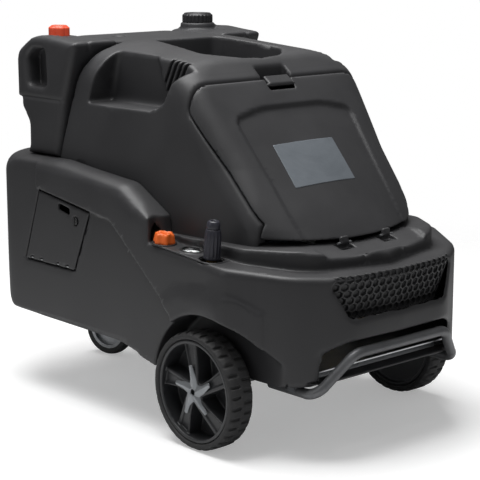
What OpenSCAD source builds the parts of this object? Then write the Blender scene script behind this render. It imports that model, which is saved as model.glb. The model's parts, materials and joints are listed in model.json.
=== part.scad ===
// Mobile hot-water pressure washer: two fixed front wheels and one rear castor under a moulded base,
// a hood with a front lid, two rear tanks with push handles, and the works on a steel frame inside.
// The machine faces -Y and +Z is up. The origin lies on the floor under the middle of its box.

/* [Overall] */
// Length from the nose to the rear wall
body_len = 1098; // [1060:2:1300]
// Width over the outer faces of the front wheels
body_w = 700; // [640:2:820]
// Height of the deck of the hood at its rear edge
body_h = 852; // [820:2:1000]
// Wall of the moulded shells
wall = 4; // [3:0.5:5]
// Gap seen between neighbouring shells
seam = 3; // [2:0.5:4]

/* [Wheels] */
// Outer radius of a front tyre
wheel_r = 130; // [112:1:136]
// Width of a front tyre
wheel_w = 66; // [54:1:72]
// Radius of the axle that carries both front wheels
axle_r = 10; // [8:0.5:12]
// Outer radius of the castor tyre
castor_r = 70; // [58:1:74]
// Width of the castor tyre
castor_w = 34; // [28:1:41]
// Angle that the castor stands turned from straight ahead
castor_turn = 15; // [-40:5:40]
// Distance that the castor wheel trails behind its swivel
castor_trail = 45; // [36:1:54]

/* [Lid and hatch] */
// Angle that the lid opens forwards
lid_open = 85; // [60:5:85]
// Length of the side hatch along the body
hatch_len = 194; // [160:2:200]
// Height of the side hatch at its front
hatch_h = 144; // [118:2:150]

/* [Works] */
// Radius of the heater jacket
boiler_r = 130; // [108:1:134]
// Height of the heater jacket
boiler_h = 430; // [358:2:520]
// Radius of the electric motor
motor_r = 80; // [66:1:96]
// Length of the electric motor
motor_len = 200; // [166:2:206]

/* [Controls] */
// Radius of the temperature knob
knob_r = 25; // [20:1:30]
// Radius of the pressure gauge case
gauge_r = 24; // [20:1:29]
// Radius of the rotary nozzle body
nozzle_r = 19; // [16:1:23]
// Radius of the bumper tube
bumper_r = 11; // [9:0.5:12]

/* [Hidden] */

eps = 0.01;
fit_gap = 0.3;      // pieces that sit on or in each other
run_gap = 0.05;     // radial clearance of a shaft in its hole
front = -body_len / 2;
rear = body_len / 2;
half = body_w / 2;
ARC = 6;            // steps in a rounded corner of an outline
FINE = 96;          // steps round a large circle

// Stations of the moulded shells
base_half = half - 2;               // belt, fenders and nose
panel_half = base_half - 13;        // recessed side panels
hood_half = half - 50;
base_z = 190;                       // underside of the base at the rear
belt_z = body_h - 281;              // top of the belt at the rear
console_z = belt_z - 140;           // ledge of the controls at its rear end
lid_foot = [front + 115, belt_z - 121];
lid_top = [front + 399, body_h - 77];
seam_low = [front + 204, belt_z - 80];
seam_high = [front + 399, body_h - 137];
tank_in = 160;                      // inner side of the tanks
grip_in = hood_half - 52;           // inner side of the handle loops
wheel_y = front + 293;
wheel_x = half - wheel_w / 2;
castor_y = rear - 125;
arch_r = wheel_r + 42;
arch_y = wheel_y - 29;
arch_in = half - wheel_w - 18;      // inner face of a wheel well

// Stations of the frame and the works
rail_x = 220;
rail = 30;
pan_z = 196;
pan_t = 3;
floor_z = pan_z + pan_t;
rail_front = front + 92;
rail_rear = rear - 219;
boiler_y = rear - 264;
boiler_foot = 30;
motor_x = -40;
motor_z = floor_z + 14 + motor_r;
motor_y = front + 248;              // front end of the motor

// ---------- outlines ----------
function unit(v) = v / norm(v);
// One vertex [x, y, radius] of an outline as the points of its arc
function corner(a, b, c) =
  let (u = unit([a[0] - b[0], a[1] - b[1]]), w = unit([c[0] - b[0], c[1] - b[1]]),
       bend = acos(max(-0.9999, min(0.9999, u * w))), r = len(b) > 2 ? b[2] : 0)
  r <= 0 || bend > 179 ? [[b[0], b[1]]] :
  let (reach = r / tan(bend / 2), hub = [b[0], b[1]] + unit(u + w) * (r / sin(bend / 2)),
       from = [b[0], b[1]] + u * reach - hub, to = [b[0], b[1]] + w * reach - hub,
       start = atan2(from[1], from[0]), turn = atan2(to[1], to[0]) - start,
       sweep = turn > 180 ? turn - 360 : turn < -180 ? turn + 360 : turn)
  [for (i = [0 : ARC]) hub + r * [cos(start + sweep * i / ARC), sin(start + sweep * i / ARC)]];
function rounded(p) = [for (i = [0 : len(p) - 1])
  each corner(p[(i + len(p) - 1) % len(p)], p[i], p[(i + 1) % len(p)])];
function winding(p) = sign([for (i = [0 : len(p) - 1]) let (q = p[(i + 1) % len(p)])
  p[i][0] * q[1] - q[0] * p[i][1]] * [for (q = p) 1]);
// The same outline with its sides moved inwards by d
function inset(p, d) = let (way = winding(p), n = len(p)) [for (i = [0 : n - 1])
  let (e = unit(p[i] - p[(i + n - 1) % n]), f = unit(p[(i + 1) % n] - p[i]),
       m = way * [-e[1], e[0]], k = way * [-f[1], f[0]])
  p[i] + d * (m + k) / (1 + m * k)];
// A half outline for x >= 0, closed by its mirror image
function mirrored(p) = concat(p, [for (i = [len(p) - 1 : -1 : 0]) if (p[i][0] > eps)
  concat([-p[i][0], p[i][1]], len(p[i]) > 2 ? [p[i][2]] : [])]);

module side_prism(p, x0, x1) translate([x0, 0, 0]) rotate([90, 0, 90])
  linear_extrude(x1 - x0) polygon(p);
module plan_prism(p, z0, z1) translate([0, 0, z0]) linear_extrude(z1 - z0) polygon(p);
module front_prism(p, y0, y1) translate([0, y1, 0]) rotate([90, 0, 0])
  linear_extrude(y1 - y0) polygon(p);
module pair() {
  children();
  mirror([1, 0, 0]) children();
}
module along_x(r, x0, x1, fn = 48) translate([x0, 0, 0]) rotate([0, 90, 0])
  cylinder(r = r, h = x1 - x0, $fn = fn);
module along_y(r, y0, y1, fn = 48) translate([0, y1, 0]) rotate([90, 0, 0])
  cylinder(r = r, h = y1 - y0, $fn = fn);
module upright(r, z0, z1, fn = 48) translate([0, 0, z0]) cylinder(r = r, h = z1 - z0, $fn = fn);
module block(from, to) translate(from) cube(to - from);
// A box rounded by r in plan
module pad(from, to, r) translate([0, 0, from[2]]) linear_extrude(to[2] - from[2]) polygon(rounded(
  [[from[0], from[1], r], [to[0], from[1], r], [to[0], to[1], r], [from[0], to[1], r]]));

// ---------- moulded base ----------
belt = [[rear - 3, belt_z - 5], [rear - 308, belt_z], [front + 550, belt_z - 25], [front + 454, belt_z - 86]];
function base_side() = rounded(concat([[rear - 94, base_z, 25], [rear - 36, base_z + 130, 80],
  [rear, base_z + 310, 40]], belt, [[front + 446, console_z, 10], [front + 196, console_z - 22, 40],
  [front, console_z - 38, 12], [front + 28, base_z + 122, 8], [front + 3, base_z + 98, 12],
  [front + 24, base_z + 66, 8], [front + 47, base_z + 52, 10], [front + 52, base_z - 24],
  [front + 430, base_z - 32], [front + 560, base_z - 4, 60]]));
function base_plan(narrower = 0) = rounded(mirrored([[0, rear], [base_half - narrower, rear, 170],
  [base_half - narrower, front + 220, 110], [base_half - 86, front + 82, 130],
  [150, front + 12, 140], [0, front]]));
// Opening under the hood and the lid
function deck_plan(d = 0) = rounded(mirrored([[0, rear - 125 - d], [hood_half - 22 - d, rear - 125 - d, 50],
  [hood_half - 22 - d, front + 640, 200], [232 - d, front + 380, 60], [226 - d, front + 222, 60],
  [158 - d, front + 127 + d, 100], [0, lid_foot[0] - 12 + d]]));
function shelf_plan() = rounded(mirrored([[0, front + 450], [hood_half - 12, front + 450],
  [hood_half - 22, front + 210, 50], [200, front + 96, 120], [0, front + 56]]));
shelf_z = console_z + 15;
shelf_side = [[front + 40, console_z - 60], [front + 58, console_z - 4], [front + 112, shelf_z],
  [front + 450, shelf_z], [front + 450, console_z - 60]];
hatch_low = base_z + 132;
hatch_lean = 62;                    // lean of the ends of the hatch over its height
hatch_rear = rear - 174;
hatch_depth = 92;
function hatch_outline() = [[hatch_rear, hatch_low], [hatch_rear - hatch_len, hatch_low],
  [hatch_rear - hatch_len - hatch_lean, hatch_low + hatch_h],
  [hatch_rear - hatch_lean, hatch_low + hatch_h + 28]];
function panel_side() = rounded([[rear + 20, belt_z - 70], [hatch_rear - hatch_lean, belt_z - 70, 30],
  [front + 584, belt_z - 109, 20], [arch_y + 104, wheel_r + 152, 10], [arch_y + 120, 100], [rear + 20, 100]]);

module base_solid(d = 0) intersection() {
  side_prism(inset(base_side(), d), -half, half);
  plan_prism(inset(base_plan(), d), 100, belt_z + 40);
}
module arch_block(d) {
  translate([0, arch_y, wheel_r]) along_x(arch_r + d, arch_in - d, half + 2, FINE);
  block([arch_in - d, arch_y - arch_r - d, 60], [half + 2, arch_y + arch_r + d, wheel_r]);
}
module hatch_bay(d) side_prism(inset(hatch_outline(), 10 - d), -panel_half - 20,
  -panel_half + hatch_depth + d);
module base_shell() color("#3b3c3e") {
  lid_ears();
  difference() {
    base_moulding();
    plan_prism(deck_plan(), console_z - 80, belt_z + 40);
    pair() arch_block(0);
    hatch_bay(0);
    side_prism(inset(hatch_outline(), -seam), -half, -panel_half + hatch_t + fit_gap);
    translate([0, castor_y, 0]) upright(castor_plate_r + 1, 100, pan_z + 10);
    grille_window(fit_gap);
    console_holes();
    for (x = [inlet_x, outlet_x]) translate([x, 0, port_z]) along_y(port_r + fit_gap, rear - 120, rear + 5);
    hinge_rooms();
    bumper_rooms();
  }
  hatch_ears();
}
// Notches in the rim of the shelf round the knuckles of the lid
module hinge_rooms() for (x = hinge_xs) block([x - ear_w - 1, hinge_y - hinge_web - 1, hinge_z - 14],
  [x + knuckle + ear_w + 1, hinge_y + 2 * hinge_r, shelf_z + 1]);
// Notches in the skirt where the legs of the bumper pass under it
module bumper_rooms() pair() block([rail_x - bumper_r - 13, front + 40, base_z - 40],
  [rail_x + bumper_r + 2, front + 62, base_z - 16]);
module base_moulding() {
  difference() {
    base_solid();
    pair() side_prism(panel_side(), panel_half, half + 1);
    base_cavity();
  }
  difference() {
    intersection() {
      side_prism(shelf_side, -half, half);
      plan_prism(shelf_plan(), console_z - 60, console_z + 20);
    }
    side_prism(inset(shelf_side, wall), -half, half);
    plan_prism(inset(shelf_plan(), wall), 0, console_z - 20);
  }
}
module base_cavity() {
  difference() {
    union() {
      intersection() {
        side_prism(inset(base_side(), wall), wall - panel_half, panel_half - wall);
        plan_prism(inset(base_plan(13), wall), 100, belt_z + 40);
      }
      block([wall - panel_half, front + 90, 100], [panel_half - wall, rear - 125, base_z + wall + 1]);
    }
    pair() arch_block(wall);
    hatch_bay(wall);
    side_prism(inset(hatch_outline(), -seam - wall), -half, -panel_half + hatch_t + fit_gap + wall);
    block([-half, front - 1, 100], [half, front + 90, base_z - 24 + wall]);
  }
}

// ---------- frame ----------
module pan_outline(z0, z1, d) intersection() {
  side_prism(inset(base_side(), wall + d), -half, half);
  plan_prism(inset(base_plan(13), wall + d), z0, z1);
}
module floor_pan() color("#8b8e90") difference() {
  pan_outline(pan_z, floor_z, fit_gap);
  pair() arch_block(wall + fit_gap);
  bolt_places() upright(bolt_r + run_gap, 100, 300, 24);
}
bracket_t = 8;
bracket_x = rail_x + rail / 2;
module chassis_frame() color("#5f6264") difference() {
  union() {
    pair() block([rail_x - rail / 2, rail_front, pan_z - rail], [rail_x + rail / 2, rail_rear, pan_z]);
    for (y = [rail_front + 10, front + 600, rail_rear - rail - 20])
      block([-rail_x, y, pan_z - rail], [rail_x, y + rail, pan_z]);
    block([-70, rail_rear - 30, pan_z - 5], [70, rail_rear + 40, pan_z]);
    pair() hull() {
      translate([bracket_x, wheel_y, wheel_r]) along_x(axle_r + 9, 0, bracket_t);
      block([bracket_x, wheel_y - 45, pan_z - 4], [bracket_x + bracket_t, wheel_y + 45, pan_z]);
    }
  }
  translate([0, wheel_y, wheel_r]) along_x(axle_r + run_gap, -half, half);
  bolt_places() upright(bolt_r + run_gap, 100, 300, 24);
}
bolt_r = 4;
bolt_stations = [rail_front + 140, front + 330, front + 700, rail_rear - 40];
module bolt_places() for (x = [-rail_x, rail_x], y = bolt_stations) translate([x, y, 0]) children();
module frame_bolts() color("#9a9c9e") bolt_places() {
  upright(bolt_r, pan_z - rail - 8, floor_z + eps, 24);
  upright(8, floor_z, floor_z + 5, 6);
  upright(8, pan_z - rail - 6, pan_z - rail, 6);
}

// ---------- bumper ----------
bumper_low = 150;
bumper_high = base_z + 46;
bumper_y = front + 13;
bumper_path = [[-rail_x, rail_front + 90, bumper_low], [-rail_x, bumper_y + 35, bumper_low],
  [-142, bumper_y - 3, bumper_high], [142, bumper_y - 3, bumper_high],
  [rail_x, bumper_y + 35, bumper_low], [rail_x, rail_front + 90, bumper_low]];
module rod(a, b, r) {
  v = b - a;
  translate(a) rotate([0, acos(v[2] / norm(v)), atan2(v[1], v[0])]) cylinder(r = r, h = norm(v), $fn = 32);
}
// A round bar along a path, bent to radius bend at each inner point
module pipe(path, r, bend) {
  last = len(path) - 1;
  steps = [for (i = [0 : last - 1]) unit(path[i + 1] - path[i])];
  turns = [for (i = [0 : last]) i == 0 || i == last ? 0 : acos(steps[i - 1] * steps[i])];
  cuts = [for (a = turns) bend * tan(a / 2)];
  for (i = [0 : last - 1])
    rod(path[i] + steps[i] * (cuts[i] - sign(cuts[i])),
      path[i + 1] - steps[i] * (cuts[i + 1] - sign(cuts[i + 1])), r);
  for (i = [1 : last - 1]) {
    u = steps[i - 1];
    n = unit(steps[i] - (steps[i] * u) * u);
    k = cross(-n, u);
    c = path[i] - u * cuts[i] + n * bend;
    multmatrix([[-n[0], u[0], k[0], c[0]], [-n[1], u[1], k[1], c[1]], [-n[2], u[2], k[2], c[2]],
      [0, 0, 0, 1]])
      rotate_extrude(angle = turns[i], $fn = 96) translate([bend, 0]) circle(r = r + 0.3, $fn = 32);
  }
}
module bumper_bar() color("#8f9294") pipe(bumper_path, bumper_r, 40);
module bumper_clamps() color("#5f6264") pair() for (y = [rail_front + 4, rail_front + 66]) difference() {
  block([rail_x - rail / 2, y, bumper_low], [rail_x + rail / 2, y + 20, pan_z - rail]);
  translate([rail_x, 0, bumper_low]) along_y(bumper_r + run_gap, y - 1, y + 21);
}

// ---------- hood and lid ----------
function upper_side(lower = 0) = rounded(concat(
  [[rear - 109, body_h, 30], [rear - 109, belt_at(rear - 109) + fit_gap - lower]],
  [for (p = [belt[1], belt[2]]) [p[0], p[1] + fit_gap - lower]],
  [[belt[3][0] - 1, belt[3][1] + fit_gap - lower],
  [front + 446, shelf_z + fit_gap - lower], [lid_foot[0] + 6, shelf_z + fit_gap - lower],
   [lid_foot[0], lid_foot[1]], [lid_top[0], lid_top[1], 240], [front + 448, body_h - 34, 40],
   [rear - 384, body_h]]));
function upper_plan() = rounded(mirrored([[0, rear - 109], [hood_half, rear - 109, 50],
  [hood_half, rear - 400, 300], [266, front + 380, 200], [240, front + 222, 70],
  [160, front + 137, 100], [0, lid_foot[0]]]));
function upper_front() = rounded(mirrored([[0, body_h], [140, body_h, 60], [235, body_h - 36, 60],
  [hood_half - 24, body_h - 80, 60], [hood_half, belt_z + 20, 100], [hood_half, 100], [0, 100]]));
module upper_solid(d = 0, lower = 0) intersection() {
  side_prism(inset(upper_side(lower), d), -half, half);
  plan_prism(inset(upper_plan(), d), 300, body_h + 10);
  front_prism(inset(upper_front(), d), front, rear);
}
lid_back = [[seam_high[0], body_h + 20], seam_high, seam_low, [seam_low[0], console_z]];
module lid_zone(d = 0) side_prism(concat([[front, body_h + 20]], [for (p = lid_back) p + [d, 0]],
  [[front, console_z]]), -half, half);
// Tray in the deck
tray_floor = body_h - 110;
function tray_plan() = rounded(mirrored([[0, rear - 384], [96, rear - 384, 20], [124, front + 516, 25],
  [70, front + 458, 60], [0, front + 450]]));
module tray(d) plan_prism(inset(tray_plan(), -d), tray_floor - d, body_h + 20);
// Holder for the gun and lance, open to the side and to the top
holder_floor = body_h - 144;
holder_in = hood_half - 92;
module holder(d) side_prism(inset([[rear - 360, holder_floor], [front + 508, holder_floor],
  [front + 592, body_h + 40], [rear - 410, body_h + 40]], -d), holder_in - d, half);
// Bay of a tank at a rear corner
tank_seam = [[rear - 340, body_h - 10], [rear - 263, belt_z + 8]];
module tank_bay(d) side_prism([[tank_seam[0][0] - d - 2, body_h + 20], [tank_seam[0][0] - d, tank_seam[0][1]],
  [tank_seam[1][0] - d, tank_seam[1][1]], [tank_seam[1][0] - d, belt_z - 60], [rear, belt_z - 60],
  [rear, body_h + 20]], tank_in - seam - d, half);
module hood_cavity() difference() {
  upper_solid(wall, 60);
  tray(wall);
  pair() {
    holder(wall);
    tank_bay(wall);
  }
  latch_recess(wall);
  gun_cup(wall);
}
// Cup in the deck for the foot of the gun
module gun_cup(d) translate([-84, rear - 230, 0]) upright(16 + d, body_h - 60 - d, body_h + 1, 32);
flue_r = 48;
flue_z = body_h - 122;
slot_pitch = 27;
module hood_shell() color("#3d3e40") difference() {
  upper_solid();
  lid_zone(seam);
  hood_cavity();
  tray(0);
  pair() {
    holder(0);
    tank_bay(0);
    for (i = [0 : 3]) vent_slot(front + 530 - i * slot_pitch);
  }
  latch_recess(0);
  gun_cup(0);
  translate([0, 0, flue_z]) along_y(flue_r + fit_gap, rear - 120, rear - 100, 64);
}
slot_len = 92;
slot_w = 9;
module vent_slot(y) side_prism([[y, body_h - 98], [y + slot_w, body_h - 98],
  [y + slot_w - 52, body_h - 98 + slot_len], [y - 52, body_h - 98 + slot_len]], holder_in - 1, half);
latch_half = 38;
latch_y = lid_top[0] - 12;
latch_z = lid_top[1] - 8;
module latch_recess(d) side_prism(inset([[lid_top[0] - 2, lid_top[1] - 16],
  [lid_top[0] + 26, lid_top[1] - 16],
  [lid_top[0] + 32, lid_top[1] + 60], [lid_top[0] - 2, lid_top[1] + 60]], -d), -latch_half - 8 - d,
  latch_half + 8 + d);

hinge_y = lid_foot[0] + 4;
hinge_z = lid_foot[1] - 5;
hinge_r = 5;
hinge_pin_r = 2.5;
hinge_xs = [-78, 54];               // left end of the middle knuckle of each hinge
knuckle = 24;
ear_w = 8;
hinge_web = 10;                     // height of the webs that join the knuckles to the lid
module hinge_at() translate([0, hinge_y, hinge_z]) children();
module lid_ears() for (x = hinge_xs, s = [-1, 1]) difference() {
  x0 = s < 0 ? x - ear_w - fit_gap : x + knuckle + fit_gap;
  union() {
    hinge_at() along_x(hinge_r, x0, x0 + ear_w, 32);
    block([x0, lid_foot[0] - 12, hinge_z - 13], [x0 + ear_w, hinge_y + 3, hinge_z - 3]);
  }
  hinge_at() along_x(hinge_pin_r + run_gap, x0 - 1, x0 + ear_w + 1, 32);
}
module front_lid() color("#424345") difference() {
  union() {
    difference() {
      intersection() {
        upper_solid();
        lid_zone();
      }
      upper_solid(wall, 60);
      block([-latch_half - 1, latch_y - 8, latch_z - 30], [latch_half + 1, latch_y + 40, body_h]);
      for (x = hinge_xs) hinge_at() along_x(hinge_r + 0.6, x - ear_w - 1, x + knuckle + ear_w + 1, 32);
    }
    for (x = hinge_xs) {
      hinge_at() along_x(hinge_r, x, x + knuckle, 32);
      block([x, hinge_y - 3, hinge_z], [x + knuckle, hinge_y + 4, hinge_z + hinge_web]);
    }
    for (s = [-1, 1]) latch_boss(s);
  }
  for (x = hinge_xs) hinge_at() along_x(hinge_pin_r + run_gap, x - 1, x + knuckle + 1, 32);
  translate([0, latch_y, latch_z - 8]) along_x(latch_pin_r + run_gap, -latch_half - 5, latch_half + 5, 32);
}
latch_pin_r = 2.5;
module latch_boss(s) translate([s * (latch_half + 4), 0, 0])
  block([-3, latch_y - 8, latch_z - 16], [3, latch_y + 8, latch_z]);
module lid_hinge_pins() color("#a5a7a9") for (x = hinge_xs) hinge_at()
  along_x(hinge_pin_r, x - ear_w - fit_gap, x + knuckle + ear_w + fit_gap, 32);
lid_slope = atan2(lid_top[1] - lid_foot[1], lid_top[0] - lid_foot[0]);
module on_lid(along, lift) translate([0, lid_foot[0], lid_foot[1]]) rotate([lid_slope, 0, 0])
  translate([0, along, lift]) children();
plate_w = 182;
plate_h = 113;
plate_x = -20;
module lid_label_plate() color("#70757d") on_lid(205, 0.05)
  pad([plate_x - plate_w / 2, -plate_h / 2, 0], [plate_x + plate_w / 2, plate_h / 2, 1], 4);
module lid_latch() color("#3d3e40") {
  translate([0, latch_y, latch_z - 8]) along_x(latch_pin_r, -latch_half - 4.5, latch_half + 4.5, 32);
  side_prism([[latch_y - 5, latch_z - 12], [latch_y + 4, latch_z - 12], [latch_y + 20, latch_z + 6],
    [latch_y + 16, latch_z + 12], [latch_y - 5, latch_z - 6]], -latch_half, latch_half);
}

// ---------- grille ----------
function grille_outline(d = 0) = [[-178 - d, console_z - 47 + d], [178 + d, console_z - 47 + d],
  [142 + d, base_z + 124 - d], [-142 - d, base_z + 124 - d]];
module grille_window(d) difference() {
  front_prism(grille_outline(d), front - 2, front + 130);
  base_solid(wall + 1.5 + eps);
}
module front_grille() color("#2c2d2f") difference() {
  front_prism(grille_outline(), front - 2, front + 129);
  difference() {
    block([-half, front - 5, 200], [half, front + 135, 500]);
    base_solid(1.5);
  }
  base_solid(wall + 1.5);
}

// ---------- tanks ----------
cap_x = 219;
cap_y = rear - 172;
neck_r = 44;
neck_z = body_h - 5;
tank_foot = belt_z - 1;
handle_r = 15;                      // corners of the opening behind the grip
// Side outline of the lower part of a tank
function belt_at(y) = belt_z - 5 * (y - belt[1][0]) / (belt[0][0] - belt[1][0]);
function tank_low() = rounded([[tank_seam[1][0] + 2, belt_at(tank_seam[1][0] + 2) + fit_gap],
  [rear - 133, belt_at(rear - 133) + fit_gap],
  [rear - 143, tank_foot + 20, 10], [rear - 144, tank_foot + 74, 20], [rear - 115, tank_foot + 112, 10],
  [rear - 115, body_h - 146], [rear - 286, body_h - 146]]);
function tank_high() = rounded([[rear - 286, body_h - 147], [rear - 115, body_h - 147],
  [rear - 115, body_h - 30, 20], [rear - 125, body_h - 6, 15], [rear - 334, body_h - 6, 8]]);
function handle_loop() = rounded([[rear - 286, body_h - 147], [rear - 100, body_h - 147, 8],
  [rear - 99, body_h - 38, 40], [rear - 165, body_h + 2, 60], [rear - 225, body_h + 5, 60],
  [rear - 334, body_h - 8, 8]]);
function grip_hole() = rounded([[rear - 222, body_h - 118, handle_r], [rear - 150, body_h - 118, handle_r],
  [rear - 143, body_h - 50, handle_r], [rear - 168, body_h - 30, handle_r],
  [rear - 218, body_h - 27, handle_r]]);
module tank_form(d = 0) {
  side_prism(inset(tank_low(), d), tank_in + d, hood_half - d);
  side_prism(inset(tank_high(), d), tank_in + d, grip_in - 2 - d);
}
module tank(neck) difference() {
  union() {
    difference() {
      union() {
        tank_form();
        side_prism(handle_loop(), grip_in - 2, hood_half);
      }
      side_prism(grip_hole(), grip_in, hood_half + 1);
    }
    translate([cap_x, cap_y, 0]) upright(neck_r, body_h - 20, neck_z + neck);
    translate([cap_x, cap_y, 0]) upright(neck_bore + 4, neck_z, neck_z + neck + neck_h);
  }
  tank_form(wall);
  block([tank_in + wall, rear - 270, body_h - 160], [grip_in - 2 - wall, rear - 119, body_h - 130]);
  translate([cap_x, cap_y, 0]) upright(neck_bore, body_h - 30, body_h + 60);
}
neck_bore = 17;
neck_h = 12;
fuel_neck = 16;                     // the fuel filler stands taller
module detergent_tank() color("#434446") mirror([1, 0, 0]) tank(0);
module fuel_tank() color("#434446") tank(fuel_neck);

cap_h = 27;
fuel_cap_h = 24;
// A cap that screws over a neck: lobes of radius r round a skirt, open underneath
module screw_cap(r, h, lobes, lobe) difference() {
  union() {
    cylinder(r = r - lobe / 2, h = h, $fn = 64);
    for (i = [0 : lobes - 1]) rotate(i * 360 / lobes)
      translate([r - lobe, 0, 0]) cylinder(r = lobe, h = h - 4, $fn = 20);
  }
  translate([0, 0, -1]) cylinder(r = neck_bore + 4 + run_gap, h = neck_h + 1.4, $fn = 64);
}
module detergent_cap() color("#e05a34") translate([-cap_x, cap_y, neck_z + fit_gap])
  screw_cap(26.5, cap_h, 6, 9);
module detergent_cap_seal() color("#1d1d1e") translate([-cap_x, cap_y, neck_z + neck_h + fit_gap])
  cap_seal();
module fuel_cap() color("#232325") translate([cap_x, cap_y, neck_z + fuel_neck + fit_gap])
  screw_cap(39, fuel_cap_h, 18, 5);
module fuel_cap_seal() color("#1d1d1e")
  translate([cap_x, cap_y, neck_z + fuel_neck + neck_h + fit_gap]) cap_seal();
module cap_seal() difference() {
  translate([0, 0, 0.02]) cylinder(r = neck_bore + 3, h = 0.36, $fn = 64);
  translate([0, 0, -1]) cylinder(r = neck_bore + 0.5, h = 3, $fn = 64);
}

// ---------- hatch ----------
hatch_t = 8;
hatch_pin_r = 2;
hatch_x = -panel_half + 4.1;        // line of the hinge pin
hatch_pin_z = hatch_low + 4;
hatch_knuckle = 30;
hatch_knuckles = [hatch_rear - 60, hatch_rear - hatch_len + 30];
module hatch_line() translate([hatch_x, 0, hatch_pin_z]) children();
module side_hatch() color("#38393b") difference() {
  union() {
    difference() {
      side_prism(inset(hatch_outline(), fit_gap), -panel_half, -panel_half + hatch_t);
      for (y = hatch_knuckles)
        block([-half, y - 9, hatch_low - 5], [-panel_half + 10, y + hatch_knuckle + 9, hatch_low + 9]);
      // finger slot under the upper edge
      side_prism(rounded([[hatch_mid - 22, hatch_low + 128, 5], [hatch_mid + 22, hatch_low + 136, 5],
        [hatch_mid + 22, hatch_low + 152, 5], [hatch_mid - 22, hatch_low + 144, 5]]), -half, 0);
      // the lower edge is thinned so that it turns clear of the rebate
      block([3 - panel_half, hatch_rear - hatch_len - hatch_lean, hatch_low - 1],
        [hatch_t + 1 - panel_half, hatch_rear + 1, hatch_pin_z]);
    }
    for (y = hatch_knuckles) {
      hatch_line() along_y(4, y, y + hatch_knuckle, 32);
      block([-panel_half + 1, y, hatch_pin_z],
        [-panel_half + hatch_t - 1, y + hatch_knuckle, hatch_low + 10]);
    }
  }
  for (y = hatch_knuckles) hatch_line() along_y(hatch_pin_r + run_gap, y - 1, y + hatch_knuckle + 1, 32);
  translate([0, lock_y, lock_z]) along_x(lock_r - 3 + run_gap, -half, 0, 32);
}
hatch_mid = hatch_rear - hatch_len / 2 - hatch_lean;
lock_r = 9;
lock_y = hatch_rear - hatch_len - hatch_lean + 52;
lock_z = hatch_low + 118;
module hatch_ears() for (y = hatch_knuckles, s = [-1, 1]) difference() {
  y0 = s < 0 ? y - 8 : y + hatch_knuckle + fit_gap;
  union() {
    hatch_line() along_y(4, y0, y0 + 8 - fit_gap, 32);
    block([-panel_half + 1, y0, hatch_low - 12], [-panel_half + hatch_t, y0 + 8 - fit_gap, hatch_pin_z]);
  }
  hatch_line() along_y(hatch_pin_r + run_gap, y0 - 1, y0 + 9, 32);
}
module hatch_hinge_pin() color("#a5a7a9") for (y = hatch_knuckles) hatch_line()
  along_y(hatch_pin_r, y - 8, y + hatch_knuckle + 8, 32);
// Quarter-turn lock with its tongue behind the panel
module hatch_lock() color("#2a2b2d") {
  translate([0, lock_y, lock_z]) {
    along_x(lock_r, -panel_half - 2, -panel_half - fit_gap, 40);
    along_x(lock_r - 3, -panel_half - fit_gap, -panel_half + hatch_t + 4, 32);
  }
  block([-panel_half + hatch_t + 1.5, lock_y - 6, lock_z - 6],
    [-panel_half + hatch_t + 4, lock_y + 6, lock_z + 20]);
}

// ---------- console ----------
console_slope = 22 / 250;
function console_at(y) = console_z + (y - (front + 446)) * console_slope;
knob_at = [-half + 32, front + 419];
gauge_at = [-half + 46, front + 343];
nozzle_at = [-half + 40, front + 272];
console_t = 3;
console_plan = [[8 - base_half, front + 438], [-hood_half + 16, front + 438], [-hood_half + 22, front + 250],
  [-half + 12, front + 250]];
gauge_depth = 34;
cup_t = 2;
console_tilt = atan(console_slope);
module on_console(at) translate([at[0], at[1], console_at(at[1])]) rotate([console_tilt, 0, 0])
  children();
module console_holes() {
  on_console(knob_at) upright(7, -30, 20, 32);
  on_console(gauge_at) upright(gauge_r + fit_gap, -30, 20, 64);
  on_console(nozzle_at) upright(nozzle_r + cup_t + fit_gap, -60, 20, 64);
}
module console_plate() color("#4a4b4e") difference() {
  intersection() {
    plan_prism(console_plan, console_z - 60, console_z + 60);
    side_prism([[front + 200, console_at(front + 200)], [front + 446, console_z],
      [front + 446, console_z + console_t],
      [front + 200, console_at(front + 200) + console_t]], -half, 0);
  }
  on_console(knob_at) upright(5 + run_gap, -20, 20, 32);
  on_console(gauge_at) upright(gauge_r + fit_gap, -20, 20, 64);
  on_console(nozzle_at) upright(nozzle_r + fit_gap, -20, 20, 64);
}
knob_h = 22;
module temperature_knob() color("#e2703a") on_console(knob_at) {
  difference() {
    upright(knob_r - 2, console_t + fit_gap, console_t + knob_h, 48);
    for (i = [0 : 5]) rotate(i * 60 + 15) translate([knob_r + 2, 0, console_t + 6])
      cylinder(r = 7, h = knob_h, $fn = 24);
  }
  upright(5, -12, console_t + fit_gap, 32);
}
module gauge_case() color("#1e1e20") on_console(gauge_at) difference() {
  union() {
    upright(gauge_r, -gauge_depth, console_t + 3, 64);
    upright(gauge_r + 2, console_t, console_t + 3, 64);
  }
  upright(gauge_r - 2.5, console_t - 5, console_t + 10, 64);
  upright(1.2 + run_gap, -10, 10, 24);
}
module gauge_dial() color("#eceded") on_console(gauge_at) difference() {
  upright(gauge_r - 3, console_t - 5, console_t - 4, 64);
  upright(1.6, -10, 10, 24);
}
module gauge_needle() color("#151515") on_console(gauge_at) {
  upright(1.2, -9, console_t - 1.6, 24);
  translate([0, 0, console_t - 3.2]) linear_extrude(0.8)
    polygon([[-1.6, 5], [1.6, 5], [0.5, -gauge_r + 7], [-0.5, -gauge_r + 7]]);
  upright(2.4, console_t - 3.4, console_t - 2, 24);
}
module gauge_lens() color("#dfe6ea") on_console(gauge_at)
  upright(gauge_r - 2.8, console_t + 0.6, console_t + 2.2, 64);
holder_cup = 44;
module nozzle_holder() color("#1b1b1d") on_console(nozzle_at) difference() {
  upright(nozzle_r + cup_t, -holder_cup, -fit_gap, 64);
  upright(nozzle_r, -holder_cup + cup_t, 10, 64);
}
nozzle_len = 84;
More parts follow.
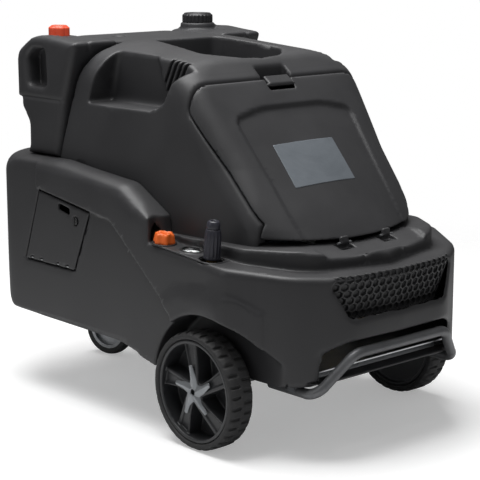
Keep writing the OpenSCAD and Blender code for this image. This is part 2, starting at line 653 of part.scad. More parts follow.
module rotary_nozzle() color("#3b3a4a") on_console(nozzle_at) difference() {
  union() {
    upright(nozzle_r, 4, 4 + nozzle_len - 16, 48);
    upright(nozzle_r - 4, 4 + nozzle_len - 16, 4 + nozzle_len, 48);
  }
  upright(5, nozzle_len - 20, nozzle_len + 5, 24);
  for (i = [0 : 11]) rotate(i * 30) translate([nozzle_r + 1, 0, 10])
    cylinder(r = 2.4, h = nozzle_len, $fn = 16);
}
module nozzle_nut() color("#b08d4c") on_console(nozzle_at) {
  upright(12, -6, 4, 6);
  upright(7, -holder_cup + cup_t + fit_gap, -6, 32);
}

// ---------- front wheels ----------
rim_r = wheel_r - 34;
bead = 3;
hub_r = 24;
function tyre_profile() = rounded([[rim_r, -wheel_w / 2 + 5, 3], [wheel_r - 6, -wheel_w / 2, 8],
  [wheel_r, -wheel_w / 2 + 14, 10], [wheel_r, wheel_w / 2 - 14, 10], [wheel_r - 6, wheel_w / 2, 8],
  [rim_r, wheel_w / 2 - 5, 3]]);
module on_wheel(s) translate([s * wheel_x, wheel_y, wheel_r]) rotate([0, s * 90, 0]) children();
module tyre() difference() {
  rotate_extrude($fn = FINE) polygon(tyre_profile());
  for (i = [0 : 35], s = [-1, 1]) rotate(i * 10 + (s > 0 ? 5 : 0))
    translate([wheel_r - 3, -2, s > 0 ? 6 : -wheel_w / 2 - 1]) cube([6, 4, wheel_w / 2 - 5]);
}
module rim() difference() {
  union() {
    rotate_extrude($fn = FINE) polygon([[rim_r - 8, -wheel_w / 2 + 4], [rim_r, -wheel_w / 2 + 4],
      [rim_r, wheel_w / 2 - 4], [rim_r - 8, wheel_w / 2 - 4]]);
    cylinder(r = hub_r, h = wheel_w - 14, center = true, $fn = 64);
    for (i = [0 : 4]) rotate(i * 72) linear_extrude(18)
      polygon([[10, -11], [rim_r - 4, 6], [rim_r - 6, 26], [14, 9]]);
    for (i = [0 : 4]) rotate(i * 72 + 30) translate([0, 0, -20]) linear_extrude(24)
      polygon([[10, -5], [rim_r - 4, -5], [rim_r - 4, 5], [10, 5]]);
  }
  cylinder(r = axle_r + run_gap, h = wheel_w + 10, center = true, $fn = 64);
}
// Silver star that covers the middle of the spokes and the end of the axle
module hub_cap() {
  difference() {
    translate([0, 0, wheel_w / 2 - 7]) cylinder(r = hub_r, h = 5, $fn = 64);
    translate([0, 0, wheel_w / 2 - 8]) cylinder(r = axle_r + 1, h = 4, $fn = 48);
  }
  for (i = [0 : 4]) rotate(i * 72) translate([0, 0, wheel_w / 2 - 6.4]) linear_extrude(4)
    polygon([[hub_r - 6, -12], [rim_r - 40, -3], [rim_r - 26, 12], [hub_r - 4, 10]]);
}
module left_tyre() color("#1f1f21") on_wheel(-1) tyre();
module right_tyre() color("#1f1f21") on_wheel(1) tyre();
module left_rim() color("#2e2f31") on_wheel(-1) rim();
module right_rim() color("#2e2f31") on_wheel(1) rim();
module left_hub_cap() color("#8d9194") on_wheel(-1) hub_cap();
module right_hub_cap() color("#8d9194") on_wheel(1) hub_cap();
collar_t = 6;
module front_axle() color("#a0a2a4") translate([0, wheel_y, wheel_r]) {
  along_x(axle_r, -half + 12, half - 12, 64);
  pair() {
    along_x(axle_r + 5, half - wheel_w + 7 - fit_gap - collar_t, half - wheel_w + 7 - fit_gap, 48);
    along_x(axle_r + 5, bracket_x + bracket_t + fit_gap, bracket_x + bracket_t + fit_gap + 3, 48);
  }
}

// ---------- castor ----------
castor_plate_r = 30;
swivel_z = pan_z - 12;
fork_t = 4;
castor_axle_r = 5;
castor_rim_r = castor_r - 18;
module castor_frame() translate([0, castor_y, 0]) rotate([0, 0, castor_turn]) children();
module castor_hub() castor_frame() translate([0, castor_trail, castor_r]) rotate([0, 90, 0]) children();
module castor_plate() color("#9b9da0") translate([0, castor_y, 0]) {
  upright(castor_plate_r, swivel_z + 6, pan_z, 48);
  upright(6, swivel_z - 14, pan_z, 32);
}
module castor_fork() color("#8a8d90") castor_frame() difference() {
  union() {
    upright(26, swivel_z - 10, swivel_z + 6 - fit_gap, 48);
    for (s = [-1, 1]) translate([s > 0 ? castor_w / 2 + 1.5 : -castor_w / 2 - 1.5 - fork_t, 0, 0])
      side_prism(rounded([[-20, swivel_z - 4, 2], [-20, swivel_z - 16, 10],
        [castor_trail - 14, castor_r - 4, 14],
        [castor_trail, castor_r - 16, 10], [castor_trail + 16, castor_r - 2, 14],
        [castor_trail + 26, swivel_z - 30, 14], [24, swivel_z - 4, 2]]), 0, fork_t);
  }
  upright(6 + run_gap, swivel_z - 20, swivel_z + 10, 32);
  translate([0, castor_trail, castor_r]) along_x(castor_axle_r + run_gap, -60, 60, 32);
  translate([0, brake_y, brake_z]) along_x(brake_pin_r + run_gap, -60, 60, 32);
}
module castor_axle() color("#a0a2a4") castor_hub() {
  cylinder(r = castor_axle_r, h = castor_w + 26, center = true, $fn = 32);
  for (s = [-1, 1]) translate([0, 0, s * (castor_w / 2 + 1.5 + fork_t + 3.2)])
    cylinder(r = 9, h = 6, center = true, $fn = 6);
}
module castor_tyre() color("#232325") castor_hub() rotate_extrude($fn = FINE) polygon(rounded([
  [castor_rim_r, -castor_w / 2 + 3], [castor_r - 4, -castor_w / 2, 6], [castor_r, 0, 30],
  [castor_r - 4, castor_w / 2, 6], [castor_rim_r, castor_w / 2 - 3]]));
module castor_rim() color("#8c8f92") castor_hub() rotate_extrude($fn = FINE) polygon([
  [castor_axle_r + run_gap, -castor_w / 2], [14, -castor_w / 2], [18, -5], [castor_rim_r - 8, -5],
  [castor_rim_r - 8, 3 - castor_w / 2], [castor_rim_r, 3 - castor_w / 2], [castor_rim_r, castor_w / 2 - 3],
  [castor_rim_r - 8, castor_w / 2 - 3], [castor_rim_r - 8, 5], [18, 5], [14, castor_w / 2],
  [castor_axle_r + run_gap, castor_w / 2]]);
brake_y = castor_trail + 8;
brake_z = castor_r + castor_r + 14;
brake_pin_r = 3;
module castor_brake() color("#c7372a") castor_frame() translate([0, brake_y, brake_z]) {
  along_x(brake_pin_r, -castor_w / 2 - fork_t - 2, castor_w / 2 + fork_t + 2, 32);
  side_prism(rounded([[-8, -6, 4], [10, -5, 2], [44, 2, 2], [46, 8, 2], [8, 8, 4], [-8, 6, 4]]),
    -castor_w / 2, castor_w / 2);
}

// ---------- motor and pump ----------
shaft_r = 9;
rotor_r = motor_r * 0.6;
motor_end = motor_y + motor_len;
fan_room = 42;
module on_motor() translate([motor_x, 0, motor_z]) children();
module motor_housing() color("#5a6470") difference() {
  union() {
    on_motor() along_y(motor_r, motor_y, motor_end + fan_room, FINE);
    on_motor() for (i = [0 : 11]) rotate([0, i * 30, 0])
      block([-2, motor_y + 12, motor_r - 3], [2, motor_end - 12, motor_r + 7]);
    block([motor_x - motor_r, motor_y + 30, floor_z],
      [motor_x + motor_r, motor_end - 30, motor_z - motor_r * 0.7]);
    block([motor_x - 40, motor_y + 50, motor_z + motor_r - 6],
      [motor_x + 40, motor_y + 130, motor_z + motor_r + 34]);
  }
  on_motor() {
    along_y(rotor_r + 1, motor_y + 10, motor_end - 10, FINE);
    along_y(shaft_r + run_gap, motor_y - 1, motor_end + 1, 48);
    along_y(motor_r - 4, motor_end, motor_end + fan_room - 3, FINE);
    for (i = [0 : 9]) rotate([0, i * 36, 0])
      block([-4, motor_end + fan_room - 10, 24], [4, motor_end + fan_room + 1, motor_r - 14]);
  }
}
module motor_rotor() color("#a0a2a4") on_motor() {
  along_y(rotor_r, motor_y + 14, motor_end - 14, FINE);
  along_y(shaft_r, motor_y - 40, motor_end + fan_room - 12, 48);
}
module motor_fan() color("#2f3133") on_motor() difference() {
  union() {
    along_y(18, motor_end + 4, motor_end + fan_room - 14, 48);
    for (i = [0 : 7]) rotate([0, i * 45, 0])
      block([-1.5, motor_end + 6, 14], [1.5, motor_end + fan_room - 16, motor_r - 10]);
  }
  along_y(shaft_r + run_gap, motor_end, motor_end + fan_room, 48);
}
pump_w = 120;
pump_len = 96;
pump_y = motor_y - pump_len;
feed_r = 7;
feed_x = 90;
feed_z = motor_z + 8;
module pump_block() color("#b5b8ba") difference() {
  union() {
    block([motor_x - pump_w / 2, pump_y, motor_z - 52], [motor_x + pump_w / 2, motor_y - 14, motor_z + 52]);
    on_motor() along_y(motor_r - 6, motor_y - 14, motor_y, FINE);
    block([motor_x - pump_w / 2 + 6, pump_y + 20, floor_z],
      [motor_x + pump_w / 2 - 6, pump_y + 50, motor_z - 50]);
  }
  on_motor() along_y(shaft_r + 2, motor_y - 46, motor_y + 1, 48);
}
head_len = 44;
module pump_head() color("#b99a5a") {
  difference() {
    block([motor_x - pump_w / 2 + 4, pump_y - head_len, motor_z - 44],
      [motor_x + pump_w / 2 - 4, pump_y, motor_z + 44]);
    for (i = [-1 : 1], s = [-1, 1]) translate([motor_x + i * 34, 0, motor_z + s * 24])
      along_y(11, pump_y - head_len - 1, pump_y - head_len + 6, 6);
  }
  pipe([[motor_x + pump_w / 2 - 6, pump_y - head_len / 2, feed_z], [feed_x, pump_y - head_len / 2, feed_z],
    [feed_x, boiler_front - 12, feed_z]], feed_r, 22);
}
socket_r = 12;
function boiler_chord(x) = sqrt(boiler_r * boiler_r - x * x);
boiler_front = boiler_y - boiler_chord(feed_x);
boiler_back = boiler_y + boiler_chord(feed_x);

// ---------- heater ----------
boiler_z = floor_z + boiler_foot;
burner_z = boiler_z + 190;
tube_r = 38;
module boiler_jacket() color("#9fa3a6") difference() {
  union() {
    translate([0, boiler_y, 0]) {
      upright(boiler_r, boiler_z, boiler_z + boiler_h, FINE);
      for (i = [0 : 2]) rotate(i * 120 + 30)
        block([boiler_r - 34, -10, floor_z], [boiler_r - 8, 10, boiler_z + 2]);
    }
    translate([0, 0, burner_z]) along_y(tube_r + 8, boiler_y - boiler_r - 14, boiler_y - boiler_r + 20, 64);
    translate([feed_x, 0, feed_z]) along_y(socket_r, boiler_front - 24, boiler_front + 12, 40);
    translate([-feed_x, 0, feed_z]) along_y(socket_r, boiler_back - 12, boiler_back + 24, 40);
  }
  translate([0, boiler_y, 0]) upright(boiler_r - 4, boiler_z + 4, boiler_z + boiler_h - 4, FINE);
  translate([0, 0, burner_z])
    along_y(tube_r + fit_gap, boiler_y - boiler_r - 20, boiler_y - boiler_r + 40, 64);
  translate([0, boiler_y, 0])
    upright(flue_r + fit_gap, boiler_z + boiler_h - 10, boiler_z + boiler_h + 1, 64);
  translate([feed_x, 0, feed_z]) along_y(feed_r + fit_gap, boiler_front - 25, boiler_front - 11, 32);
  translate([-feed_x, 0, feed_z]) along_y(feed_r + fit_gap, boiler_back + 11, boiler_back + 25, 32);
}
coil_r = boiler_r - 26;
coil_turns = 9;
coil_pitch = 20;
module heating_coil() color("#7d7f80") translate([0, boiler_y, boiler_z + 4]) {
  for (i = [0 : coil_turns - 1]) translate([0, 0, burner_z - boiler_z + 60 + i * coil_pitch])
    rotate_extrude($fn = 64) translate([coil_r, 0]) circle(r = 7, $fn = 24);
  for (a = [20, 160]) rotate(a) translate([coil_r, 0, fit_gap]) {
    cylinder(r = 4, h = burner_z - boiler_z + 60 + (coil_turns - 1) * coil_pitch, $fn = 32);
    cylinder(r = 10, h = 6, $fn = 32);
  }
}
flue_foot = boiler_z + boiler_h - 4;
module flue_run(r, over = 0) {
  translate([0, boiler_y, 0]) upright(r, flue_foot - over, flue_z, 64);
  translate([0, boiler_y, flue_z]) sphere(r = r, $fn = 64);
  translate([0, 0, flue_z]) along_y(r, boiler_y, rear - 105 + over, 64);
}
module flue_collar() color("#a9acae") difference() {
  union() {
    flue_run(flue_r);
    translate([0, 0, flue_z]) along_y(flue_r + 9, rear - 109 + eps, rear - 105, 64);
  }
  flue_run(flue_r - 2, 1);
}
burner_y = boiler_y - boiler_r - 14 - 62;
drum_r = 56;
drum_half = 40;
module at_burner() translate([0, burner_y, burner_z]) children();
module burner_housing() color("#7b1f1f") difference() {
  union() {
    at_burner() along_x(drum_r, -drum_half, drum_half, 64);
    translate([0, 0, burner_z]) along_y(tube_r, burner_y, boiler_y - boiler_r + 12, 64);
  }
  at_burner() along_x(drum_r - 3, -drum_half + 3, drum_half - 3, 64);
  translate([0, 0, burner_z]) along_y(tube_r - 3, burner_y, boiler_y - boiler_r + 13, 64);
  at_burner() along_x(spindle_r + run_gap, -drum_half - 1, drum_half + 1, 32);
}
spindle_r = 5;
module burner_wheel() color("#b9bcbe") at_burner() {
  difference() {
    along_x(drum_r - 8, -drum_half + 8, drum_half - 8, 64);
    along_x(drum_r - 16, -drum_half + 7, drum_half - 12, 64);
    for (i = [0 : 15]) rotate([i * 22.5, 0, 0])
      block([-drum_half + 12, -3, drum_r - 20], [drum_half - 14, 3, drum_r]);
  }
  along_x(spindle_r, -drum_half - 12, drum_half + 14, 32);
}
module burner_motor() color("#3c4046") at_burner() difference() {
  union() {
    along_x(38, drum_half, drum_half + 66, 64);
    along_x(30, drum_half + 66, drum_half + 76, 64);
  }
  along_x(spindle_r + 1, drum_half - 1, drum_half + 20, 32);
}
module fuel_pump() color("#c3c6c8") at_burner() difference() {
  union() {
    along_x(24, -drum_half - 40, -drum_half, 48);
    block([-drum_half - 34, -12, 14], [-drum_half - 14, 12, 38]);
  }
  along_x(spindle_r + 1, -drum_half - 16, -drum_half + 1, 32);
}

// ---------- water and electrics ----------
tank_x = [rail_x - 80, rail_x + 20];
float_y = [front + 509, front + 650];
float_h = 190;
hose_y = pump_y + 30;
module float_tank() color("#d9dcd8") {
  difference() {
    block([tank_x[0], float_y[0], floor_z], [tank_x[1], float_y[1], floor_z + float_h]);
    block([tank_x[0] + 3, float_y[0] + 3, floor_z + 3],
      [tank_x[1] - 3, float_y[1] - 3, floor_z + float_h - 3]);
  }
  pipe([[tank_x[0] + 50, float_y[0] + 1, floor_z + 40], [tank_x[0] + 50, hose_y, floor_z + 40],
    [motor_x + pump_w / 2 + fit_gap, hose_y, floor_z + 40]], 9, 40);
}
module control_box() color("#c9ccce") difference() {
  block([-rail_x - 20, front + 500, floor_z], [-rail_x + 60, front + 650, floor_z + 290]);
  block([-rail_x - 17, front + 503, floor_z + 40], [-rail_x + 57, front + 647, floor_z + 287]);
  block([-rail_x - 21, front + 512, floor_z - 1], [-rail_x + 61, front + 638, floor_z + 36]);
}
port_r = 14;
port_z = feed_z;
inlet_x = tank_x[0] + 50;
outlet_x = -feed_x;
port_y = rear - 64;
module port_fitting(x, reach) translate([x, 0, port_z]) {
  along_y(port_r, port_y, rear - 26, 48);
  along_y(port_r + 5, rear - 30, rear - 16, 6);
  along_y(port_r - 4, rear - 16, rear - 2, 48);
  along_y(feed_r, reach, port_y + 1, 32);
}
module water_inlet() color("#b08d4c") port_fitting(inlet_x, float_y[1] + fit_gap);
module pressure_outlet() color("#9c9ea0") port_fitting(outlet_x, boiler_back + 12);

base_shell();
floor_pan();
chassis_frame();
hood_shell();
front_lid();
lid_label_plate();
lid_hinge_pins();
lid_latch();
front_grille();
bumper_bar();
bumper_clamps();
detergent_tank();
fuel_tank();
detergent_cap();
detergent_cap_seal();
fuel_cap();
fuel_cap_seal();
side_hatch();
hatch_hinge_pin();
hatch_lock();
console_plate();
temperature_knob();
gauge_case();
gauge_dial();
gauge_needle();
gauge_lens();
nozzle_holder();
rotary_nozzle();
nozzle_nut();
front_axle();
left_tyre();
left_rim();
left_hub_cap();
right_tyre();
right_rim();
right_hub_cap();
castor_plate();
castor_fork();
castor_axle();
castor_tyre();
castor_rim();
castor_brake();
motor_housing();
motor_rotor();
motor_fan();
pump_block();
pump_head();
boiler_jacket();
heating_coil();
flue_collar();
burner_housing();
burner_wheel();
burner_motor();
fuel_pump();
float_tank();
control_box();
water_inlet();
pressure_outlet();
frame_bolts();
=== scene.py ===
# Mobile hot-water pressure washer: moulded skins, wheels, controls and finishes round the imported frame.
# The moulded pieces are worked out in millimetres as distance fields, then meshed and set down in metres.
import json
import math

import bpy
import numpy as np
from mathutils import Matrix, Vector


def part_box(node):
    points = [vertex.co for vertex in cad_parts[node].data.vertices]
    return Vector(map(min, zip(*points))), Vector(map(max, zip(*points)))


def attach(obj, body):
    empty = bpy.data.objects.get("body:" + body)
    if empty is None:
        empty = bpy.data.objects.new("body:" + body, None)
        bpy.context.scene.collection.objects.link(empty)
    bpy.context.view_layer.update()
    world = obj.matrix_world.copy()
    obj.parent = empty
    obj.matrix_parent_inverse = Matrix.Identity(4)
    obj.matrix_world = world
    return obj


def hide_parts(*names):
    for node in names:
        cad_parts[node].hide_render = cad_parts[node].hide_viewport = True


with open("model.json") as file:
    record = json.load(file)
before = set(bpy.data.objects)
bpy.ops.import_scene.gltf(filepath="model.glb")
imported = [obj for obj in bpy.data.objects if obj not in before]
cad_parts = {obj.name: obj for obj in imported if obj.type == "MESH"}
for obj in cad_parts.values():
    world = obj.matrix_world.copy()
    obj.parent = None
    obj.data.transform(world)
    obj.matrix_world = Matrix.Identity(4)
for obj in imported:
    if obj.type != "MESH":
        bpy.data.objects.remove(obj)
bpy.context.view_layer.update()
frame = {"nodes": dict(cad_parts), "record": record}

import openvdb
from mathutils import Matrix, Vector

MM = 0.001


# ---------- stations taken from the frame, in millimetres ----------
def box_mm(node):
    """Lowest and highest corner of a node."""
    low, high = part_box(node)
    return np.array(low) / MM, np.array(high) / MM


def middle(node):
    low, high = box_mm(node)
    return (low + high) / 2


WHEEL_AT = middle("left_tyre")
WHEEL_R = (box_mm("left_tyre")[1][2] - box_mm("left_tyre")[0][2]) / 2
WHEEL_W = box_mm("left_tyre")[1][0] - box_mm("left_tyre")[0][0]
FRONT = WHEEL_AT[1] - 293
REAR = middle("castor_plate")[1] + 125
HALF = -box_mm("left_tyre")[0][0]
BODY_H = box_mm("hood_shell")[1][2]
BASE_HALF = HALF - 2
PANEL_HALF = BASE_HALF - 13
HOOD_HALF = HALF - 50
HOOD_REAR = REAR - 109
DECK_REAR = REAR - 125
BASE_Z = 190
BELT_Z = BODY_H - 281
CONSOLE_Z = BELT_Z - 140
SHELF_Z = CONSOLE_Z + 15
ARCH_R = WHEEL_R + 42
ARCH_Y = WHEEL_AT[1] - 29
ARCH_IN = HALF - WHEEL_W - 18
LID_FOOT = (FRONT + 115, BELT_Z - 121)
LID_TOP = (FRONT + 399, BODY_H - 77)
SEAM_LOW = (FRONT + 204, BELT_Z - 80)
SEAM_HIGH = (FRONT + 399, BODY_H - 137)
SEAM = 3
SKIN = 7
TANK_IN = 160
GRIP_IN = HOOD_HALF - 52
HOLDER_IN = HOOD_HALF - 92
CONSOLE_REAR = FRONT + 446
CONSOLE_SLOPE = 22 / 250
KNOB_AT = (-HALF + 32, FRONT + 419)
GAUGE_AT = (-HALF + 46, FRONT + 343)
NOZZLE_AT = (-HALF + 40, FRONT + 272)
NOZZLE_R = 19
GAUGE_R = 24
CONSOLE_T = 3
HINGE_XS = (-78, 54)
KNUCKLE = 24
EAR_W = 8
LATCH_HALF = 38


# ---------- outlines ----------
def arc_corner(a, b, c, steps):
    """The points of the arc that rounds vertex b, whose third number is its radius."""
    at = np.array(b[:2], float)
    u = np.array(a[:2], float) - at
    w = np.array(c[:2], float) - at
    u /= np.linalg.norm(u)
    w /= np.linalg.norm(w)
    bend = math.acos(max(-0.9999, min(0.9999, float(u @ w))))
    if len(b) < 3 or bend > math.radians(179):
        return [tuple(at)]
    reach = b[2] / math.tan(bend / 2)
    way = (u + w) / np.linalg.norm(u + w)
    hub = at + way * b[2] / math.sin(bend / 2)
    first, last = at + u * reach - hub, at + w * reach - hub
    start = math.atan2(first[1], first[0])
    sweep = (math.atan2(last[1], last[0]) - start + math.pi) % (2 * math.pi) - math.pi
    angles = [start + sweep * i / steps for i in range(steps + 1)]
    return [(hub[0] + b[2] * math.cos(t), hub[1] + b[2] * math.sin(t)) for t in angles]


def rounded(points, steps=6):
    """An outline whose vertices with a radius are rounded."""
    count = len(points)
    out = []
    for i, point in enumerate(points):
        out += arc_corner(points[i - 1], point, points[(i + 1) % count], steps)
    return out


def offset(y, z, points):
    """Points given from (y, z), each with its radius kept."""
    return [(y + p[0], z + p[1], *p[2:]) for p in points]


def mirrored(points):
    """A half outline for x >= 0, closed by its mirror image."""
    return points + [(-p[0], *p[1:]) for p in reversed(points) if p[0] > 0.01]


def outline_field(points, u, v):
    """Signed distance from (u, v) to a closed outline, negative inside."""
    nearest = np.full(np.broadcast(u, v).shape, 1e9, np.float32)
    inside = np.zeros(nearest.shape, bool)
    for (au, av), (bu, bv) in zip(points, points[1:] + points[:1]):
        eu, ev = bu - au, bv - av
        wu, wv = u - au, v - av
        along = np.clip((wu * eu + wv * ev) / (eu * eu + ev * ev), 0, 1)
        nearest = np.minimum(nearest, (wu - along * eu) ** 2 + (wv - along * ev) ** 2)
        if av != bv:
            inside ^= ((av > v) != (bv > v)) & (u < au + wv * (eu / ev))
    return np.where(inside, -1, 1).astype(np.float32) * np.sqrt(nearest)


# ---------- forms as distance fields ----------
def both(a, b, r=2.0):
    """Where a and b overlap, with their shared edge rounded over r."""
    near = np.maximum(r - np.abs(a - b), 0) / r
    return np.maximum(a, b) + near * near * (r * 0.25)


def either(a, b, r=2.0):
    return -both(-a, -b, r)


def less(a, b, r=2.0):
    return both(a, -b, r)


def span(v, low, high):
    """Distance to a slab between low and high."""
    return np.abs(v - (low + high) / 2) - (high - low) / 2


class Block:
    """Open axes of sample points over a box, in millimetres."""

    def __init__(self, low, high, step):
        margin = 3 * step
        self.step = step
        self.low = np.array(low, float) - margin
        axes = [np.arange(a - margin, b + margin + step, step) for a, b in zip(low, high)]
        x, y, z = (axis.astype(np.float32) for axis in axes)
        self.x, self.y, self.z = x[:, None, None], y[None, :, None], z[None, None, :]
        self.flank = np.abs(self.x)

    def side(self, points):
        return outline_field(points, self.y, self.z)

    def plan(self, points):
        return outline_field(points, self.x, self.y)

    def face(self, points):
        return outline_field(points, self.x, self.z)

    def pole(self, at, radius):
        """Distance to an upright cylinder at (x, y)."""
        return np.hypot(self.x - at[0], self.y - at[1]) - radius

    def rod(self, at, radius):
        """Distance to a cylinder from side to side at (y, z)."""
        return np.hypot(self.y - at[0], self.z - at[1]) - radius

    def polar(self):
        """Radius and angle about the block's own z axis."""
        return np.hypot(self.x, self.y), np.arctan2(self.y, self.x)

    def full(self, field):
        shape = (self.x.size, self.y.size, self.z.size)
        return np.broadcast_to(field, shape).astype(np.float32)


def sample(values, at):
    """Values between the samples of a field, at points given in steps."""
    limit = np.array(values.shape) - 2
    cell = np.clip(np.floor(at).astype(int), 0, limit)
    part = np.clip(at - cell, 0, 1)
    total = np.zeros(len(at))
    for i in (0, 1):
        for j in (0, 1):
            for k in (0, 1):
                weight = np.ones(len(at))
                for axis, bit in enumerate((i, j, k)):
                    weight *= part[:, axis] if bit else 1 - part[:, axis]
                total += weight * values[cell[:, 0] + i, cell[:, 1] + j, cell[:, 2] + k]
    return total


def slopes(values, at):
    """Unit normals of a field at points given in steps."""
    out = np.empty((len(at), 3))
    for axis in range(3):
        shift = np.zeros(3)
        shift[axis] = 0.75
        out[:, axis] = sample(values, at + shift) - sample(values, at - shift)
    return out / np.maximum(np.linalg.norm(out, axis=1, keepdims=True), 1e-9)


def link(piece):
    bpy.context.scene.collection.objects.link(piece)
    return piece


def cast(name, block, field, place=None, coarse=0.25):
    """A closed mesh over the zero level of a field. place is a matrix in millimetres."""
    values = block.full(field)
    reach = 3 * block.step
    grid = openvdb.FloatGrid(reach)
    grid.copyFromArray(np.clip(values, -reach, reach), tolerance=0.0)
    points, triangles, quads = grid.convertToPolygons(isovalue=0.0, adaptivity=coarse)
    normals = slopes(values, points)
    points = points * block.step + block.low
    if place is not None:
        turn = np.array(place)
        points = points @ turn[:3, :3].T + turn[:3, 3]
        normals = normals @ turn[:3, :3].T
        if np.linalg.det(turn[:3, :3]) < 0:
            triangles, quads = triangles[:, ::-1], quads[:, ::-1]
    mesh = bpy.data.meshes.new(name)
    mesh.vertices.add(len(points))
    mesh.vertices.foreach_set("co", (points * MM).ravel())
    corners = np.concatenate([triangles.ravel(), quads.ravel()]).astype(np.int32)
    starts = np.concatenate([np.arange(len(triangles)) * 3, triangles.size + np.arange(len(quads)) * 4])
    mesh.loops.add(len(corners))
    mesh.loops.foreach_set("vertex_index", corners)
    mesh.polygons.add(len(starts))
    mesh.polygons.foreach_set("loop_start", starts.astype(np.int32))
    mesh.update(calc_edges=True)
    mesh.validate()
    mesh.shade_smooth()
    mesh.normals_split_custom_set_from_vertices(normals)
    return link(bpy.data.objects.new(name, mesh))


def settle(piece, body, nodes, finish):
    """Puts a piece on its body, in place of its nodes and a finish."""
    piece.data.materials.clear()
    piece.data.materials.append(finish)
    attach(piece, body)
    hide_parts(*nodes)
    return piece


def make(name, block, field, body, nodes, finish, place=None, coarse=0.25):
    """Casts a piece and settles it on its body."""
    return settle(cast(name, block, field, place, coarse), body, nodes, finish)


SLOT_OF = {part["node"]: part["material_slot"] for part in frame["record"]["subparts"]}


# ---------- moulded base ----------
BELT = [
    (REAR - 3, BELT_Z - 5),
    (REAR - 308, BELT_Z, 60),
    (FRONT + 550, BELT_Z - 25, 60),
    (FRONT + 452, BELT_Z - 86),
]
BASE_SIDE = rounded(
    offset(REAR, BASE_Z, [(-94, 0, 40), (-36, 130, 80), (0, 310, 40)])
    + BELT
    + [(CONSOLE_REAR, CONSOLE_Z + 2, 6), (FRONT + 196, CONSOLE_Z - 19, 40), (FRONT + 1, CONSOLE_Z - 36, 16)]
    + offset(FRONT, BASE_Z, [(2, 98, 30), (16, 4, 30), (40, -24, 20), (430, -32), (560, -4, 60)])
)
BASE_PLAN = rounded(
    mirrored(
        [(0, REAR), (BASE_HALF, REAR, 170), (BASE_HALF, FRONT + 220, 110)]
        + [(BASE_HALF - 86, FRONT + 82, 130), (150, FRONT + 12, 140), (0, FRONT)]
    ),
    10,
)
PANEL_SIDE = rounded(
    offset(REAR, BELT_Z, [(60, 60), (-226, 60), (-229, -70, 10)])
    + [(FRONT + 584, BELT_Z - 109, 24), (ARCH_Y + 104, WHEEL_R + 152, 10)]
    + [(ARCH_Y + 120, 100), (REAR + 60, 100)]
)
SHELF_PLAN = rounded(
    mirrored([(0, FRONT + 450), (HOOD_HALF - 12, FRONT + 450), (HOOD_HALF - 22, FRONT + 210, 60)]
             + [(204, FRONT + 92, 130), (0, FRONT + 48)]),
    10,
)
DECK_PLAN = rounded(
    mirrored(
        [(0, DECK_REAR), (HOOD_HALF - 22, DECK_REAR, 50), (HOOD_HALF - 22, FRONT + 640, 200)]
        + [(232, FRONT + 380, 60), (212, FRONT + 250, 60), (140, FRONT + 162, 80), (0, LID_FOOT[0] + 16)]
    )
)
HATCH_LOW = BASE_Z + 132
HATCH_REAR = REAR - 174
HATCH_LEN = 194
HATCH_LEAN = 62
HATCH_H = 144
HATCH_T = 8
HATCH_FRONT = HATCH_REAR - HATCH_LEN - HATCH_LEAN
LOCK_AT = (HATCH_FRONT + 52, HATCH_LOW + 118)
HATCH_SIDE = [
    (HATCH_REAR, HATCH_LOW),
    (HATCH_REAR - HATCH_LEN, HATCH_LOW),
    (HATCH_FRONT, HATCH_LOW + HATCH_H),
    (HATCH_REAR - HATCH_LEAN, HATCH_LOW + HATCH_H + 28),
]
LIP = 5                     # how far the lip of a wheel arch stands out of the fender
GRILLE_TOP = CONSOLE_Z - 45
GRILLE_LOW = BASE_Z + 122
GRILLE_FACE = rounded(
    [(-186, GRILLE_TOP, 10), (186, GRILLE_TOP, 10), (146, GRILLE_LOW, 10), (-146, GRILLE_LOW, 10)]
)


def nose_sink(b):
    """How deep the grille lies under the nose: more at its foot than at its top."""
    return 5 + np.clip((GRILLE_TOP - b.z) / (GRILLE_TOP - GRILLE_LOW), 0, 1) * 21


def arch_field(b, extra=0.0):
    """Wheel well in side view: a circle that runs out into the lower edge of the nose."""
    circle = b.rod((ARCH_Y, WHEEL_R), ARCH_R + extra)
    sill = both(b.z - (BASE_Z + 8 + extra), b.y - (ARCH_Y - 60), 2)
    flare = either(circle, both(sill, (FRONT + 40) - b.y, 2), 70)
    below = both(np.abs(b.y - ARCH_Y) - ARCH_R - extra, b.z - WHEEL_R, 2)
    return either(either(circle, below, 2), both(flare, b.y - ARCH_Y, 2), 2)


def base_form(b, side, plan):
    """Side and plan outlines joined, with the widest rounding along the belt."""
    belt_part = np.clip((b.y - (FRONT + 440)) / 60, 0, 1) * np.clip((b.z - 400) / 80, 0, 1)
    return both(side, plan, 14 + 34 * belt_part)


def base_outer(b, side, plan, form):
    """Outer face of the base: fender, arch lip, sunk rear panel and the shelf under the lid."""
    skin = both(form, b.flank - (BASE_HALF - LIP), 10)
    bulge = both(np.abs(b.rod((ARCH_Y, WHEEL_R), ARCH_R + 26)) - 30, b.flank - (BASE_HALF - 1), 24)
    bulge = both(both(bulge, 300 - b.flank, 2), side - 1, 8)
    skin = either(skin, both(bulge, plan - 1, 2), 16)
    lip = both(np.abs(arch_field(b) - 5) - 7, plan, 6)
    lip = both(both(lip, 300 - b.flank, 2), both(side - 2, BASE_Z + 14 - b.z, 2), 2)
    skin = either(skin, lip, 4)
    panel = both(b.side(PANEL_SIDE), PANEL_HALF - b.flank, 3)
    skin = less(skin, panel, 4)
    top = SHELF_Z + np.interp(b.y - FRONT, (0, 19, 59, 112), (-53, -41, -15, 0))
    shelf = both(b.plan(SHELF_PLAN), span(b.z, CONSOLE_Z - 60, top.astype(np.float32)), 7)
    return either(skin, shelf, 6)


